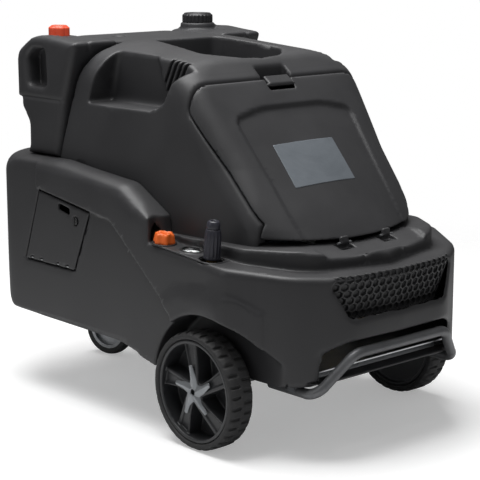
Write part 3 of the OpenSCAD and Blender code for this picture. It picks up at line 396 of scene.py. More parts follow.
def base_cuts(b, skin):
    """Grille window, tuck under the nose, wheel wells, the scoop under the shelf and the console hollow."""
    face = b.face(GRILLE_FACE)
    window = both(face, b.y - (FRONT + 130), 2)
    skin = less(skin, window, 16)
    under = [(-30, 72), (18, 70, 12), (50, 46, 20), (53, -60), (-30, -60)]
    tuck = b.side(rounded(offset(FRONT, BASE_Z, under)))
    skin = less(skin, both(tuck, b.flank - 236, 20), 8)
    well = both(arch_field(b), ARCH_IN - b.flank, 8)
    skin = less(skin, well, 5)
    corners = [(-150, 66, 24), (150, 66, 24), (172, 160), (-172, 160)]
    scoop = b.plan(rounded(offset(0, FRONT, corners)))
    skin = less(skin, both(scoop, (SHELF_Z - 22 + (b.y - (FRONT + 66)) * 0.28) - b.z, 10), 8)
    hollow = b.pole((KNOB_AT[0] + 4, KNOB_AT[1] + 4), 33)
    skin = less(skin, both(hollow, CONSOLE_Z - b.z, 6), 5)
    return skin


def base_shell():
    b = Block((-BASE_HALF, FRONT, 150), (BASE_HALF, REAR, BELT_Z + 4), 3)
    side, plan = b.side(BASE_SIDE), b.plan(BASE_PLAN)
    form = base_form(b, side, plan)
    skin = base_cuts(b, base_outer(b, side, plan, form))
    inner = both(form + SKIN, b.flank - (PANEL_HALF - SKIN), 6)
    open_floor = both(span(b.y, FRONT + 90, DECK_REAR), b.z - BASE_Z - 8, 2)
    open_floor = both(b.flank - (PANEL_HALF - SKIN), open_floor, 2)
    inner = either(inner, open_floor, 2)
    inner = less(inner, both(arch_field(b) - 5, ARCH_IN - 5 - b.flank, 4), 2)
    hatch = b.side(HATCH_SIDE)
    bay = both(hatch + 10, span(b.x, -PANEL_HALF - 20, -PANEL_HALF + 92), 4)
    rebate = both(hatch - SEAM, b.x - (HATCH_T + 0.6 - PANEL_HALF), 2)
    inner = less(less(inner, bay - 5, 2), rebate - 5, 2)
    inner = less(inner, both(b.y - (FRONT + 90), b.z - (BASE_Z - 18), 2), 2)
    skin = less(skin, inner, 2)
    skin = less(skin, both(b.plan(DECK_PLAN), (CONSOLE_Z - 80) - b.z, 2), 3)
    skin = less(skin, bay, 3)
    skin = less(skin, rebate, 2.5)
    skin = less(skin, both(b.pole(middle("castor_plate"), 33), b.z - 206, 2), 2)
    for node in ("water_inlet", "pressure_outlet"):
        port = middle(node)
        skin = less(skin, both(np.hypot(b.x - port[0], b.z - port[2]) - 20, REAR - 120 - b.y, 2), 3)
    for at, radius in ((KNOB_AT, 8), (GAUGE_AT, GAUGE_R + 2), (NOZZLE_AT, NOZZLE_R + 9)):
        skin = less(skin, both(b.pole(at, radius), CONSOLE_Z - 70 - b.z, 2), 2)
    for x in HINGE_XS:
        room = span(b.x, x - EAR_W - 1, x + KNUCKLE + EAR_W + 1)
        room = both(room, span(b.y, FRONT + 105, FRONT + 130), 2)
        skin = less(skin, both(room, SHELF_Z - 16 - b.z, 2), 2)
    leg = both(span(b.flank, 196, 233), span(b.y, FRONT, FRONT + 64), 4)
    skin = less(skin, both(leg, b.z - (BASE_Z - 12), 4), 4)
    return make("moulded_base", b, skin, "frame", ["base_shell"], body_plastic(), coarse=0.12)


# ---------- hood and lid ----------
def belt_at(y):
    return BELT_Z - 5 * (y - BELT[1][0]) / (BELT[0][0] - BELT[1][0])


LID_STEEP = (LID_TOP[1] - LID_FOOT[1]) / (LID_TOP[0] - LID_FOOT[0])
HOOD_UNDER = 160            # how far the hood's side outline runs on below its foot
HOOD_SIDE = rounded(
    [(HOOD_REAR, BODY_H, 30), (HOOD_REAR, LID_FOOT[1] - HOOD_UNDER)]
    + [(LID_FOOT[0] - HOOD_UNDER / LID_STEEP, LID_FOOT[1] - HOOD_UNDER), (*LID_TOP, 240)]
    + [(FRONT + 448, BODY_H - 34, 60), (REAR - 384, BODY_H)],
    10,
)
HOOD_PLAN = rounded(
    mirrored(
        [(0, HOOD_REAR), (HOOD_HALF, HOOD_REAR, 50), (HOOD_HALF, REAR - 400, 300)]
        + [(268, FRONT + 380, 200), (246, FRONT + 214, 60), (162, FRONT + 112, 100), (0, LID_FOOT[0] - 34)]
    ),
    10,
)
HOOD_FACE = rounded(
    mirrored([(0, BODY_H), (140, BODY_H, 90), (235, BODY_H - 36, 90), (HOOD_HALF - 24, BODY_H - 80, 90)]
             + [(HOOD_HALF, BELT_Z + 20, 140), (HOOD_HALF, 100), (0, 100)]),
    10,
)
TRAY_PLAN = rounded(
    mirrored([(0, REAR - 384), (96, REAR - 384, 24), (124, FRONT + 516, 30), (70, FRONT + 458, 60)]
             + [(0, FRONT + 450)]),
    8,
)
TRAY_FLOOR = BODY_H - 110
HOLDER_FLOOR = BODY_H - 144
HOLDER_SIDE = rounded(
    [(REAR - 360, HOLDER_FLOOR, 8), (FRONT + 508, HOLDER_FLOOR, 8), (FRONT + 592, BODY_H + 40)]
    + [(REAR - 410, BODY_H + 40)]
)
TANK_SEAM = ((REAR - 340, BODY_H - 10), (REAR - 263, BELT_Z + 8))
VENT_SIDE = rounded(
    offset(
        FRONT,
        BODY_H,
        [(500, -138), (478, -122, 12), (458, -80, 30), (428, -50, 40), (351, -29, 60)]
        + [(300, 30), (640, 30), (600, -138)],
    ),
    8,
)


LID_SWEEP = 0.001


def crowned_side(b, points, shift, reach=66):
    """Side-view outline whose points slide towards +y by shift, a field over x and z of at most reach."""
    extra = int(reach / b.step) + 1
    y = b.y[0, 0, 0] + b.step * np.arange(-extra, b.y.size + 1, dtype=np.float32)
    flat = outline_field(points, y[None, :, None], b.z)
    row = np.arange(b.y.size, dtype=np.float32)[None, :, None] + extra - shift / b.step
    low = row.astype(np.int32)
    flat = np.broadcast_to(flat, (b.x.size, y.size, b.z.size))
    near = np.take_along_axis(flat, low, axis=1)
    return near + (np.take_along_axis(flat, low + 1, axis=1) - near) * (row - low)


def lid_crown(b):
    """How far the lid's face sweeps back towards its sides: most at its foot, nothing at its top."""
    rise = np.clip((LID_TOP[1] - b.z) / (LID_TOP[1] - LID_FOOT[1]), 0, 1)
    return LID_SWEEP * np.minimum(b.flank, 250) ** 2 * rise


def hood_foot(b):
    """Height of the hood's lower edge, a little below the belt that it stands on."""
    line = np.interp(
        b.y,
        (FRONT + 445, FRONT + 451, BELT[2][0], BELT[1][0], HOOD_REAR),
        (SHELF_Z - 12, BELT[3][1] - 3, BELT[2][1] - 3, BELT_Z - 3, belt_at(HOOD_REAR) - 3),
    )
    return line.astype(np.float32)


def upper_field(b):
    """The outer form that the hood and the lid share, which runs on below their lower edges."""
    sides = both(b.plan(HOOD_PLAN), b.face(HOOD_FACE), 40)
    blend = 30 + 30 * np.clip((b.z - 480) / 120, 0, 1) * np.clip((FRONT + 500 - b.y) / 200, 0, 1)
    return both(crowned_side(b, HOOD_SIDE, lid_crown(b)), sides, blend)


def seam_field(b):
    """Side-view distance behind the parting line between lid and hood."""
    zone = [(FRONT - 60, BODY_H + 60), (SEAM_HIGH[0], BODY_H + 60), (*SEAM_HIGH, 30), SEAM_LOW]
    return b.side(rounded(zone + [(SEAM_LOW[0], CONSOLE_Z - 40), (FRONT - 60, CONSOLE_Z - 40)]))


VENT_WALL = 222             # half width of the sunk wall behind the vent slots


def vent_wall(b, sunk=0):
    """Distance inwards from the leaning wall that the vent slots stand in."""
    return (VENT_WALL - sunk - 0.10 * (b.z - (BODY_H - 98))) - b.flank


def vent_slots(b):
    """Side view of the four leaning slots."""
    out = None
    for i in range(4):
        corners = [(0, -112, 4), (9, -112, 4), (-29, -18, 4), (-38, -18, 4)]
        slot = b.side(rounded(offset(FRONT + 534 - 17 * i, BODY_H, corners)))
        out = slot if out is None else np.minimum(out, slot)
    return out


def tank_bay(b):
    (top_y, top_z), (low_y, low_z) = TANK_SEAM
    bay = b.side([(top_y - 2, BODY_H + 60), (top_y, top_z), (low_y, low_z), (low_y, BELT_Z - 80)]
                 + [(REAR + 40, BELT_Z - 80), (REAR + 40, BODY_H + 60)])
    return both(bay, (TANK_IN - SEAM) - b.flank, 6)


def hood_openings(b):
    """Each opening of the hood with the rounding of its edge."""
    tray = both(b.plan(TRAY_PLAN), TRAY_FLOOR - b.z, 24)
    holder = both(b.side(HOLDER_SIDE), HOLDER_IN - b.flank, 14)
    latch = both(span(b.x, -LATCH_HALF - 8, LATCH_HALF + 8), span(b.y, LID_TOP[0] - 2, LID_TOP[0] + 28), 8)
    latch = both(latch, (LID_TOP[1] - 16) - b.z, 6)
    cup = both(b.pole((-84, REAR - 230), 16), (BODY_H - 60) - b.z, 4)
    return [(tray, 6), (holder, 6), (latch, 5), (cup, 5), (tank_bay(b), 4)]


def hood_shell():
    b = Block((-HOOD_HALF - 4, SEAM_LOW[0] - 24, CONSOLE_Z), (HOOD_HALF + 4, HOOD_REAR, BODY_H), 3)
    form = upper_field(b)
    seam = seam_field(b)
    skin = both(form, hood_foot(b) - b.z, 2)
    inner = form + SKIN
    openings = hood_openings(b)
    for opening, _ in openings:
        inner = less(inner, opening - SKIN, 3)
    vents = both(b.side(VENT_SIDE), vent_wall(b), 5)
    inner = less(inner, vents - 16, 3)
    skin = less(skin, vents, 9)
    slots = both(vent_slots(b), vent_wall(b, 12), 2)
    skin = less(skin, slots, 2)
    skin = less(skin, inner, 2)
    skin = less(skin, seam - SEAM, 3)
    rim = both(span(form, -20, -3), span(seam, SEAM, SEAM + 12), 3)
    skin = either(skin, both(rim, SHELF_Z + 4 - b.z, 2), 3)
    for opening, edge in openings:
        skin = less(skin, opening, edge)
    flue = both(np.hypot(b.x, b.z - (BODY_H - 122)) - 49, REAR - 120 - b.y, 2)
    skin = less(skin, flue, 2)
    return make("hood", b, skin, "frame", ["hood_shell"], body_plastic(), coarse=0.12)


LID_LEAN = math.atan2(LID_TOP[1] - LID_FOOT[1], LID_TOP[0] - LID_FOOT[0])


def lid_axes(b):
    """Distances up the lid from its foot, and out of the straight line from foot to top."""
    y, z = b.y - LID_FOOT[0], b.z - LID_FOOT[1]
    along = y * math.cos(LID_LEAN) + z * math.sin(LID_LEAN)
    out = -y * math.sin(LID_LEAN) + z * math.cos(LID_LEAN)
    return along, out


LID_LEN = math.hypot(LID_TOP[0] - LID_FOOT[0], LID_TOP[1] - LID_FOOT[1])
PANEL_PLAN = rounded(
    [(-150, -60), (150, -60), (176, LID_LEN - 96, 22), (90, LID_LEN - 78, 90), (-90, LID_LEN - 78, 90)]
    + [(-176, LID_LEN - 96, 22)],
    8,
)


def lid_outer(b):
    """Outer face of the lid: the shared form with a sunk middle panel."""
    skin = upper_field(b)
    along, _ = lid_axes(b)
    panel = outline_field(PANEL_PLAN, b.x, along)
    depth = 3 + 6 * np.clip(along / LID_LEN, 0, 1)
    sunk = both(panel, -(skin + depth), 7)
    return less(skin, sunk, 9)


def front_lid():
    b = Block((-272, LID_FOOT[0], LID_FOOT[1] - 8), (272, SEAM_HIGH[0], LID_TOP[1] + 12), 2.5)
    outer = lid_outer(b)
    skin = both(outer, seam_field(b), 5)
    skin = both(skin, LID_FOOT[1] + 12 * (b.flank / 235) ** 2 - b.z, 4)
    skin = less(skin, outer + SKIN, 2)
    latch = both(span(b.x, -LATCH_HALF - 1, LATCH_HALF + 1), span(b.y, LID_TOP[0] - 20, LID_TOP[0] + 28), 4)
    skin = less(skin, both(latch, LID_TOP[1] - 38 - b.z, 2), 4)
    hinge_y, hinge_z = LID_FOOT[0] + 4, LID_FOOT[1] - 5
    pin = b.rod((hinge_y, hinge_z), 0)
    for x in HINGE_XS:
        room = both(pin - 7, span(b.x, x - EAR_W - 1, x + KNUCKLE + EAR_W + 1), 2)
        skin = less(skin, room, 2)
    for x in HINGE_XS:
        web = both(span(b.y, hinge_y - 3, hinge_y + 5), span(b.z, hinge_z, hinge_z + 14), 2)
        knuckle = both(either(pin - 5, web, 3), span(b.x, x, x + KNUCKLE), 2)
        skin = either(skin, knuckle, 2)
    return make("front_lid_skin", b, skin, "lid", ["front_lid"], body_plastic())


LABEL_H = 113
LABEL_UP = 205              # from the lid's foot to the middle of its plate


def label_plate():
    """Plain plate that follows the curve of the lid."""
    low, high = box_mm("lid_label_plate")
    b = Block((low[0], low[1] - 14, low[2] - 10), (high[0], high[1] + 10, high[2] + 14), 1)
    along, _ = lid_axes(b)
    middle_x = (low[0] + high[0]) / 2
    half_w, half_h = (high[0] - low[0]) / 2, LABEL_H / 2
    card = outline_field(
        rounded([(-half_w, -half_h, 3), (half_w, -half_h, 3), (half_w, half_h, 3), (-half_w, half_h, 3)]),
        b.x - middle_x,
        along - LABEL_UP,
    )
    plate = both(np.abs(lid_outer(b)) - 1, card, 0.8)
    return make("label_plate_blank", b, plate, "lid", ["lid_label_plate"], label_metal(), coarse=0.1)


def lid_latch():
    y, z = LID_TOP[0] - 12, LID_TOP[1] - 8
    b = Block((-LATCH_HALF - 5, y - 8, z - 14), (LATCH_HALF + 5, y + 24, z + 16), 1)
    corners = [(-5, -12, 3), (4, -12, 3), (20, 6, 3), (17, 12, 3), (-5, -4, 5)]
    paddle = b.side(rounded(offset(y, z, corners)))
    paddle = both(paddle, b.flank - LATCH_HALF, 6)
    ribs = both(np.abs(np.mod(b.x, 6) - 3) - 1, paddle + 1, 1)
    paddle = less(paddle, both(ribs, (z + 4) - b.z, 1), 1)
    pin = both(b.rod((y, z - 8), 3), b.flank - LATCH_HALF - 4.5, 1)
    return make("lid_latch_paddle", b, either(paddle, pin, 1), "latch", ["lid_latch"], body_plastic())


# ---------- grille ----------
def honeycomb(u, v, pitch):
    """Distance to the walls between rounded six-sided cells of a given pitch, negative in a cell."""
    row = pitch * math.sqrt(3) / 2
    out = None
    for shift in (0, 1):
        cu = u - (np.round(u / pitch - shift / 2) + shift / 2) * pitch
        cv = v - (np.round(v / (2 * row) - shift / 2) + shift / 2) * 2 * row
        au, av = np.abs(cu), np.abs(cv)
        cell = np.maximum(au, au * 0.5 + av * (math.sqrt(3) / 2))
        out = cell if out is None else np.minimum(out, cell)
    return out - pitch / 2


def front_grille():
    b = Block((-203, FRONT, GRILLE_LOW - 18), (203, FRONT + 76, GRILLE_TOP + 14), 1.3)
    plan = b.plan(BASE_PLAN)
    sink = plan + nose_sink(b)
    cells = honeycomb(b.x, (b.z - GRILLE_LOW) * 1.06, 19.5)
    holes = both(cells + 2.2, -(sink + 6.5), 1.5)
    slab = both(sink, -(sink + 14), 2)
    slab = less(slab, holes, 2.2)
    slab = both(slab, b.face(GRILLE_FACE) - 14, 2)
    return make(
        "front_grille_honeycomb", b, slab,
        "frame", ["front_grille"], grille_plastic(), coarse=0.15,
    )


# ---------- tanks ----------
CAP_X = 219
CAP_Y = REAR - 172
NECK_R = 44
NECK_Z = BODY_H - 5
FUEL_NECK = 16
SPOUT_R = 21                # the threaded spout that a cap's seal closes


def tank_side():
    low = TANK_SEAM[1][0] + 2
    foot = BELT_Z - 1
    return rounded(
        [(low, belt_at(low) + 1), (REAR - 133, belt_at(REAR - 133) + 1)]
        + offset(REAR, foot, [(-143, 20, 10), (-144, 74, 20), (-115, 112, 14)])
        + offset(REAR, BODY_H, [(-115, -30, 20), (-125, -6, 15), (-334, -6, 8), (-286, -146)]),
        8,
    )


TANK_UPPER = offset(REAR, BODY_H, [(-340, -147), (-60, -147), (-60, 60), (-340, 60)])
HANDLE_SIDE = rounded(
    offset(
        REAR,
        BODY_H,
        [(-286, -150), (-100, -150, 8), (-99, -38, 40), (-165, 1, 60), (-225, 3, 60), (-334, -8, 8)],
    ),
    8,
)
HAND_HOLE = rounded(
    offset(
        REAR,
        BODY_H,
        [(-222, -118, 15), (-150, -118, 15), (-143, -50, 15), (-168, -30, 15), (-218, -27, 15)],
    ),
    8,
)


def tank(name, side, neck, node):
    """One rear tank with its handle loop and filler neck. side is -1 on the left and 1 on the right."""
    b = Block((TANK_IN, REAR - 340, BELT_Z - 6), (HOOD_HALF, REAR - 99, BODY_H + neck + 14), 2.4)
    body = both(b.side(tank_side()), span(b.x, TANK_IN, HOOD_HALF), 22)
    body = less(body, both(b.side(TANK_UPPER), (GRIP_IN - 2) - b.x, 3), 6)
    loop = both(b.side(HANDLE_SIDE), span(b.x, GRIP_IN - 6, HOOD_HALF), 22)
    loop = less(loop, both(b.side(HAND_HOLE), GRIP_IN - b.x, 2), 16)
    body = either(body, loop, 6)
    body = either(body, both(b.pole((CAP_X, CAP_Y), NECK_R), b.z - (NECK_Z + neck), 7), 8)
    body = either(body, both(b.pole((CAP_X, CAP_Y), SPOUT_R), b.z - (NECK_Z + neck + 12), 2), 2)
    place = Matrix.Scale(side, 4, Vector((1, 0, 0)))
    return make(name, b, body, "frame", [node], body_plastic(), place)


def lobed_cap(name, at, radius, height, lobes, depth, body, nodes, finish):
    """Screw cap with lobes round its skirt and a sunk top, over a filler neck."""
    b = Block((-radius, -radius, 0), (radius, radius, height), 0.9)
    r, angle = b.polar()
    wave = np.abs(np.cos(angle * lobes / 2))
    skirt = r - (radius - depth * (1 - wave ** 0.7))
    grip = both(skirt, b.z - (height - 4), 4)
    crown = both(r - (radius - depth - 2), b.z - height, 4)
    cap = either(grip, crown, 3)
    cap = less(cap, both(r - (radius - depth - 7), (height - 2.2) - b.z, 2), 2)
    grip_bar = both(np.abs(b.x) - 3, r - (radius - depth - 5), 2)
    grip_bar = both(grip_bar, span(b.z, height - 5, height - 0.4), 2)
    cap = either(cap, grip_bar, 2)
    cap = both(cap, -b.z, 2)
    cap = less(cap, both(r - (SPOUT_R + 0.2), b.z - 12.6, 1), 1)
    return make(name, b, cap, body, nodes, finish, Matrix.Translation(Vector(at)), coarse=0.1)


# ---------- hatch ----------
def side_hatch():
    hinge_z = HATCH_LOW + 4
    knuckles = (HATCH_REAR - 60, HATCH_REAR - HATCH_LEN + 30)
    x = -PANEL_HALF
    b = Block((x - 2, HATCH_FRONT, HATCH_LOW - 2), (x + 10, HATCH_REAR, HATCH_LOW + HATCH_H + 30), 1.5)
    panel = both(b.side(HATCH_SIDE) + 0.5, span(b.x, x, x + HATCH_T), 3)
    mid = HATCH_REAR - HATCH_LEN / 2 - HATCH_LEAN
    corners = [(-22, 128, 5), (22, 136, 5), (22, 152, 5), (-22, 144, 5)]
    slot = b.side(rounded(offset(mid, HATCH_LOW, corners)))
    panel = less(panel, slot, 3)
    panel = less(panel, both(b.rod(LOCK_AT, 11), b.x - (x + 3), 1), 2)
    panel = less(panel, b.rod(LOCK_AT, 6.2), 1)
    for y in knuckles:
        room = both(span(b.y, y - 9, y + 39), b.z - (HATCH_LOW + 9), 1)
        panel = less(panel, room, 1)
    panel = less(panel, both((x + 3) - b.x, b.z - hinge_z, 1), 1)
    for y in knuckles:
        pin = np.hypot(b.x - (x + 4.1), b.z - hinge_z) - 4
        web = both(span(b.x, x + 1, x + HATCH_T - 1), span(b.z, hinge_z, HATCH_LOW + 13), 1)
        panel = either(panel, both(either(pin, web, 2), span(b.y, y, y + 30), 1), 1)
    return make("side_hatch_door", b, panel, "hatch", ["side_hatch"], body_plastic())


def hatch_lock():
    lock_y, lock_z = LOCK_AT
    x = -PANEL_HALF
    b = Block((x - 2, lock_y - 10, lock_z - 10), (x + HATCH_T + 4, lock_y + 10, lock_z + 22), 0.6)
    head = both(b.rod(LOCK_AT, 9), span(b.x, x - 2, x + 2.5), 1.5)
    coin = both(np.abs(b.y - lock_y) - 1.4, b.x - (x + 0.5), 0.5)
    head = less(head, coin, 0.6)
    barrel = both(b.rod(LOCK_AT, 5.6), span(b.x, x, x + HATCH_T + 4), 0.5)
    tongue = both(span(b.y, lock_y - 6, lock_y + 6), span(b.z, lock_z - 6, lock_z + 20), 3)
    tongue = both(tongue, span(b.x, x + HATCH_T + 1.5, x + HATCH_T + 4), 1)
    return make(
        "hatch_quarter_lock", b, either(either(head, barrel, 0.5), tongue, 0.5),
        "hatch_lock", ["hatch_lock"], black_plastic(), coarse=0.1,
    )


# ---------- console ----------
def on_console(at):
    """Matrix of a control: its own axis stands square to the sloping console."""
    z = CONSOLE_Z + (at[1] - CONSOLE_REAR) * CONSOLE_SLOPE
    return Matrix.Translation(Vector((at[0], at[1], z))) @ Matrix.Rotation(math.atan(CONSOLE_SLOPE), 4, "X")


def console_plate():
    b = Block((-HALF + 4, FRONT + 236, CONSOLE_Z - 26), (-HOOD_HALF + 24, FRONT + 454, CONSOLE_Z + 10), 1.5)
    plan = b.plan(rounded([(-HALF + 8, FRONT + 442, 26), (-HOOD_HALF + 16, CONSOLE_REAR, 4)]
                          + [(-HOOD_HALF + 22, FRONT + 244, 4), (-HALF + 10, FRONT + 240, 20)]))
    floor = b.z - (CONSOLE_Z + (b.y - CONSOLE_REAR) * CONSOLE_SLOPE)
    plate = both(plan, span(floor, 0.3, CONSOLE_T + 1), 2.5)
    for at, radius in ((KNOB_AT, 5.4), (GAUGE_AT, GAUGE_R + 0.6), (NOZZLE_AT, NOZZLE_R + 8)):
        plate = less(plate, b.pole(at, radius), 2)
    ring = np.abs(b.pole(GAUGE_AT, GAUGE_R + 4)) - 2
    plate = either(plate, both(ring, span(floor, 0.3, CONSOLE_T + 3), 2), 2)
    return make("console_floor", b, plate, "frame", ["console_plate"], console_plastic())


def temperature_knob():
    b = Block((-28, -28, -12), (28, 28, 30), 0.8)
    r, angle = b.polar()
    lobes = np.cos(angle * 6) * 2.4
    body = both(r - (24 + lobes) + 0.2 * (b.z - CONSOLE_T), span(b.z, CONSOLE_T + 0.4, CONSOLE_T + 25), 6)
    dish = both(r - 13, (CONSOLE_T + 22) - b.z, 4)
    body = less(body, dish, 3)
    grip = both(both(np.abs(b.x) - 4, r - 18, 3), span(b.z, CONSOLE_T + 8, CONSOLE_T + 26), 3)
    body = either(body, grip, 2)
    body = either(body, both(r - 4.8, span(b.z, -12, 8), 1), 1)
    return make(
        "temperature_knob_grip", b, body,
        "knob", ["temperature_knob"], orange_knob(), on_console(KNOB_AT), coarse=0.1,
    )


def knob_collar():
    """Black ring on the console round the knob."""
    b = Block((-29, -29, 0), (29, 29, 7), 0.8)
    r = np.hypot(b.x, b.y)
    ring = both(np.abs(r - 25.5) - 2.6, span(b.z, CONSOLE_T - 1, CONSOLE_T + 3), 1.5)
    piece = cast("knob_collar", b, ring, on_console(KNOB_AT), coarse=0.1)
    piece.data.materials.append(black_plastic())
    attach(piece, "frame")
    return piece


def gauge_case():
    b = Block((-28, -28, -34), (28, 28, 8), 0.8)
    r = np.hypot(b.x, b.y)
    case = both(r - GAUGE_R, span(b.z, -34, CONSOLE_T + 3), 2)
    case = either(case, both(np.abs(r - GAUGE_R + 0.4) - 2.6, span(b.z, CONSOLE_T, CONSOLE_T + 4), 1.5), 1)
    case = less(case, both(r - (GAUGE_R - 2.5), (CONSOLE_T - 5) - b.z, 1), 1)
    case = less(case, both(r - 1.6, -10 - b.z, 0.5), 0.5)
    return make(
        "gauge_housing", b, case,
        "frame", ["gauge_case"], black_plastic(), on_console(GAUGE_AT), coarse=0.1,
    )


def nozzle_cup():
    b = Block((-29, -29, -44), (29, 29, 5), 1)
    r = np.hypot(b.x, b.y)
    cup = both(r - (NOZZLE_R + 7.6), span(b.z, -24, CONSOLE_T - 0.5), 3)
    cup = less(cup, both(r - (NOZZLE_R + 5.5), -20 - b.z, 4), 2)
    sleeve = both(r - 10, span(b.z, -44, -20), 2)
    cup = either(cup, sleeve, 3)
    cup = less(cup, both(r - 7.6, -41 - b.z, 1), 1)
    return make(
        "nozzle_cup", b, cup,
        "frame", ["nozzle_holder"], black_plastic(), on_console(NOZZLE_AT), coarse=0.1,
    )


def rotary_nozzle():
    top = 88
    b = Block((-20, -20, 2), (20, 20, top), 0.8)
    r, angle = b.polar()
    ribs = np.clip(np.abs(np.mod(angle / (2 * math.pi) * 14, 1) - 0.5) * 4 - 0.9, 0, 1)
    shell = r - (NOZZLE_R - 2.2 * (1 - ribs) * np.clip((b.z - 8) / 4, 0, 1))
    shell = both(shell, r - 19 + np.clip((b.z - 54) * 0.22, 0, 9), 3)
    lower = both(shell, span(b.z, 4, 72), 3)
    cap = both(r - 14.5 + np.clip((b.z - 80) * 0.3, 0, 9), span(b.z, 66, top), 4)
    body = either(lower, cap, 1)
    band = both(np.abs(b.z - 71) - 1.2, r - 20, 1)
    body = less(body, both(band, 13 - r, 1), 1)
    body = less(body, both(r - 5.5, (top - 12) - b.z, 2), 2)
    return make(
        "rotary_nozzle_body", b, body,
        "nozzle", ["rotary_nozzle"], nozzle_plastic(), on_console(NOZZLE_AT), coarse=0.1,
    )


# ---------- front wheels ----------
RIM_R = WHEEL_R - 17
HUB_R = 24
AXLE_BORE = 10.3
TREADS = 34


def on_wheel(side):
    centre = Vector((side * abs(WHEEL_AT[0]), WHEEL_AT[1], WHEEL_R))
    return Matrix.Translation(centre) @ Matrix.Rotation(math.radians(side * 90), 4, "Y")


def tyre(side, name):
    half = WHEEL_W / 2
    b = Block((-WHEEL_R, -WHEEL_R, -half), (WHEEL_R, WHEEL_R, half), 1.7)
    r = np.hypot(b.x, b.y)
    profile = rounded(
        [(RIM_R, -half + 7, 2), (RIM_R + 3, -half, 2), (WHEEL_R - 5, -half, 5), (WHEEL_R, -half + 10, 8)]
        + [(WHEEL_R, half - 10, 8), (WHEEL_R - 5, half, 5), (RIM_R + 3, half, 2), (RIM_R, half - 7, 2)]
    )
    body = outline_field(profile, r, b.z)
    angle = np.arctan2(b.y, b.x) / (2 * math.pi)
    for edge, shift in ((-1, 0.0), (1, 0.5)):
        turn = np.mod(angle * TREADS + shift, 1) - 0.5
        notch = np.abs(turn) * (2 * math.pi * WHEEL_R / TREADS) - 3.6
        notch = both(notch, (WHEEL_R - 5) - r, 2)
        notch = both(notch, 4 - edge * b.z, 2)
        body = less(body, notch, 2)
    return make(
        name + "_tyre_tread", b, body,
        name + "_wheel", [name + "_tyre"], tyre_rubber(), on_wheel(side),
    )


def turned_blade(b, points, count, first=0.0):
    """Distance to count copies of a blade outline round the axle."""
    out = None
    for i in range(count):
        t = math.radians(first + 360 * i / count)
        u = b.x * math.cos(t) + b.y * math.sin(t)
        v = b.y * math.cos(t) - b.x * math.sin(t)
        blade = outline_field(points, u, v)
        out = blade if out is None else np.minimum(out, blade)
    return out


def rim(side, name):
    """Wheel with five wide blades, each with a raised edge, over a deep dish."""
    half = WHEEL_W / 2
    b = Block((-RIM_R, -RIM_R, -half + 3), (RIM_R, RIM_R, half), 1.5)
    r = np.hypot(b.x, b.y)
    ring = both(np.abs(r - (RIM_R - 4)) - 4.3, np.abs(b.z) - (half - 3), 3)
    dish = both(both(r - RIM_R + 3, span(b.z, -22, -16), 2), 12 - r, 2)
    face = half - 6 - 0.10 * np.clip(r - 30, 0, 80)
    blade = turned_blade(b, rounded([(8, -16), (RIM_R - 2, 0), (RIM_R - 2, 46), (56, 21), (14, 10)]), 5)
    spoke = both(both(blade, b.z - face, 3), -20 - b.z, 2)
    sunk = turned_blade(b, rounded([(34, -3), (RIM_R - 9, 9), (RIM_R - 9, 36), (52, 15)]), 5)
    spoke = less(spoke, both(sunk, (face - 4) - b.z, 3), 2)
    hub = both(r - HUB_R - 3, span(b.z, -half + 7, half - 8.4), 4)
    body = either(either(either(ring, dish, 3), spoke, 3), hub, 3)
    body = less(body, r - AXLE_BORE, 1)
    return make(
        name + "_rim_spokes", b, body,
        name + "_wheel", [name + "_rim"], rim_plastic(), on_wheel(side),
    )


def hub_star(side, name):
    """Five-armed pinwheel cap over the hub."""
    half = WHEEL_W / 2
    low, high = half - 7.5, half - 1
    b = Block((-62, -62, low), (62, 62, high), 0.9)
    r = np.hypot(b.x, b.y)
    arms = turned_blade(b, rounded([(4, -15), (30, -10), (59, 3, 3), (57, 13, 3), (34, 9), (10, 13)]), 5, 2)
    ridge = turned_blade(b, rounded([(4, -4), (58, 7), (58, 8), (4, -3)]), 5, 2)
    top = high - 0.34 * np.clip(ridge, 0, 20) - 0.03 * r
    star = both(either(arms, r - 19, 8), b.z - top, 1.5)
    star = both(star, low - b.z, 1)
    star = less(star, both(r - 7, (high - 2.5) - b.z, 2), 2)
    star = less(star, both(r - 11, b.z - (half - 4), 1), 1)
    return make(
        name + "_hub_star", b, star,
        name + "_wheel", [name + "_hub_cap"], hub_silver(), on_wheel(side), coarse=0.1,
    )


# ---------- shader groups ----------
def new_group(name, inputs, outputs):
    """An empty shader group with named number inputs and outputs."""
    tree = bpy.data.node_groups.new(name, "ShaderNodeTree")
    for label, value in inputs.items():
        socket = tree.interface.new_socket(label, in_out="INPUT", socket_type="NodeSocketFloat")
        socket.default_value = value
    for label in outputs:
        tree.interface.new_socket(label, in_out="OUTPUT", socket_type="NodeSocketFloat")
    return tree, tree.nodes.new("NodeGroupInput"), tree.nodes.new("NodeGroupOutput")


def add(tree, kind, **settings):
    node = tree.nodes.new(kind)
    for key, value in settings.items():
        setattr(node, key, value)
    return node


def maths(tree, operation, a, b=None, clamp=False):
    """A Math node over sockets or numbers."""
    node = add(tree, "ShaderNodeMath", operation=operation, use_clamp=clamp)
    for socket, value in zip(node.inputs, (a, b)):
        if value is None:
            continue
        if isinstance(value, (int, float)):
            socket.default_value = value
        else:
            tree.links.new(value, socket)
    return node.outputs[0]


def object_point(tree):
    return add(tree, "ShaderNodeTexCoord").outputs["Object"]


def noise(tree, at, scale, detail=3.0, rough=0.55):
    node = add(tree, "ShaderNodeTexNoise")
    tree.links.new(at, node.inputs["Vector"])
    if isinstance(scale, (int, float)):
        node.inputs["Scale"].default_value = scale
    else:
        tree.links.new(scale, node.inputs["Scale"])
    node.inputs["Detail"].default_value = detail
    node.inputs["Roughness"].default_value = rough
    return node.outputs["Fac"]


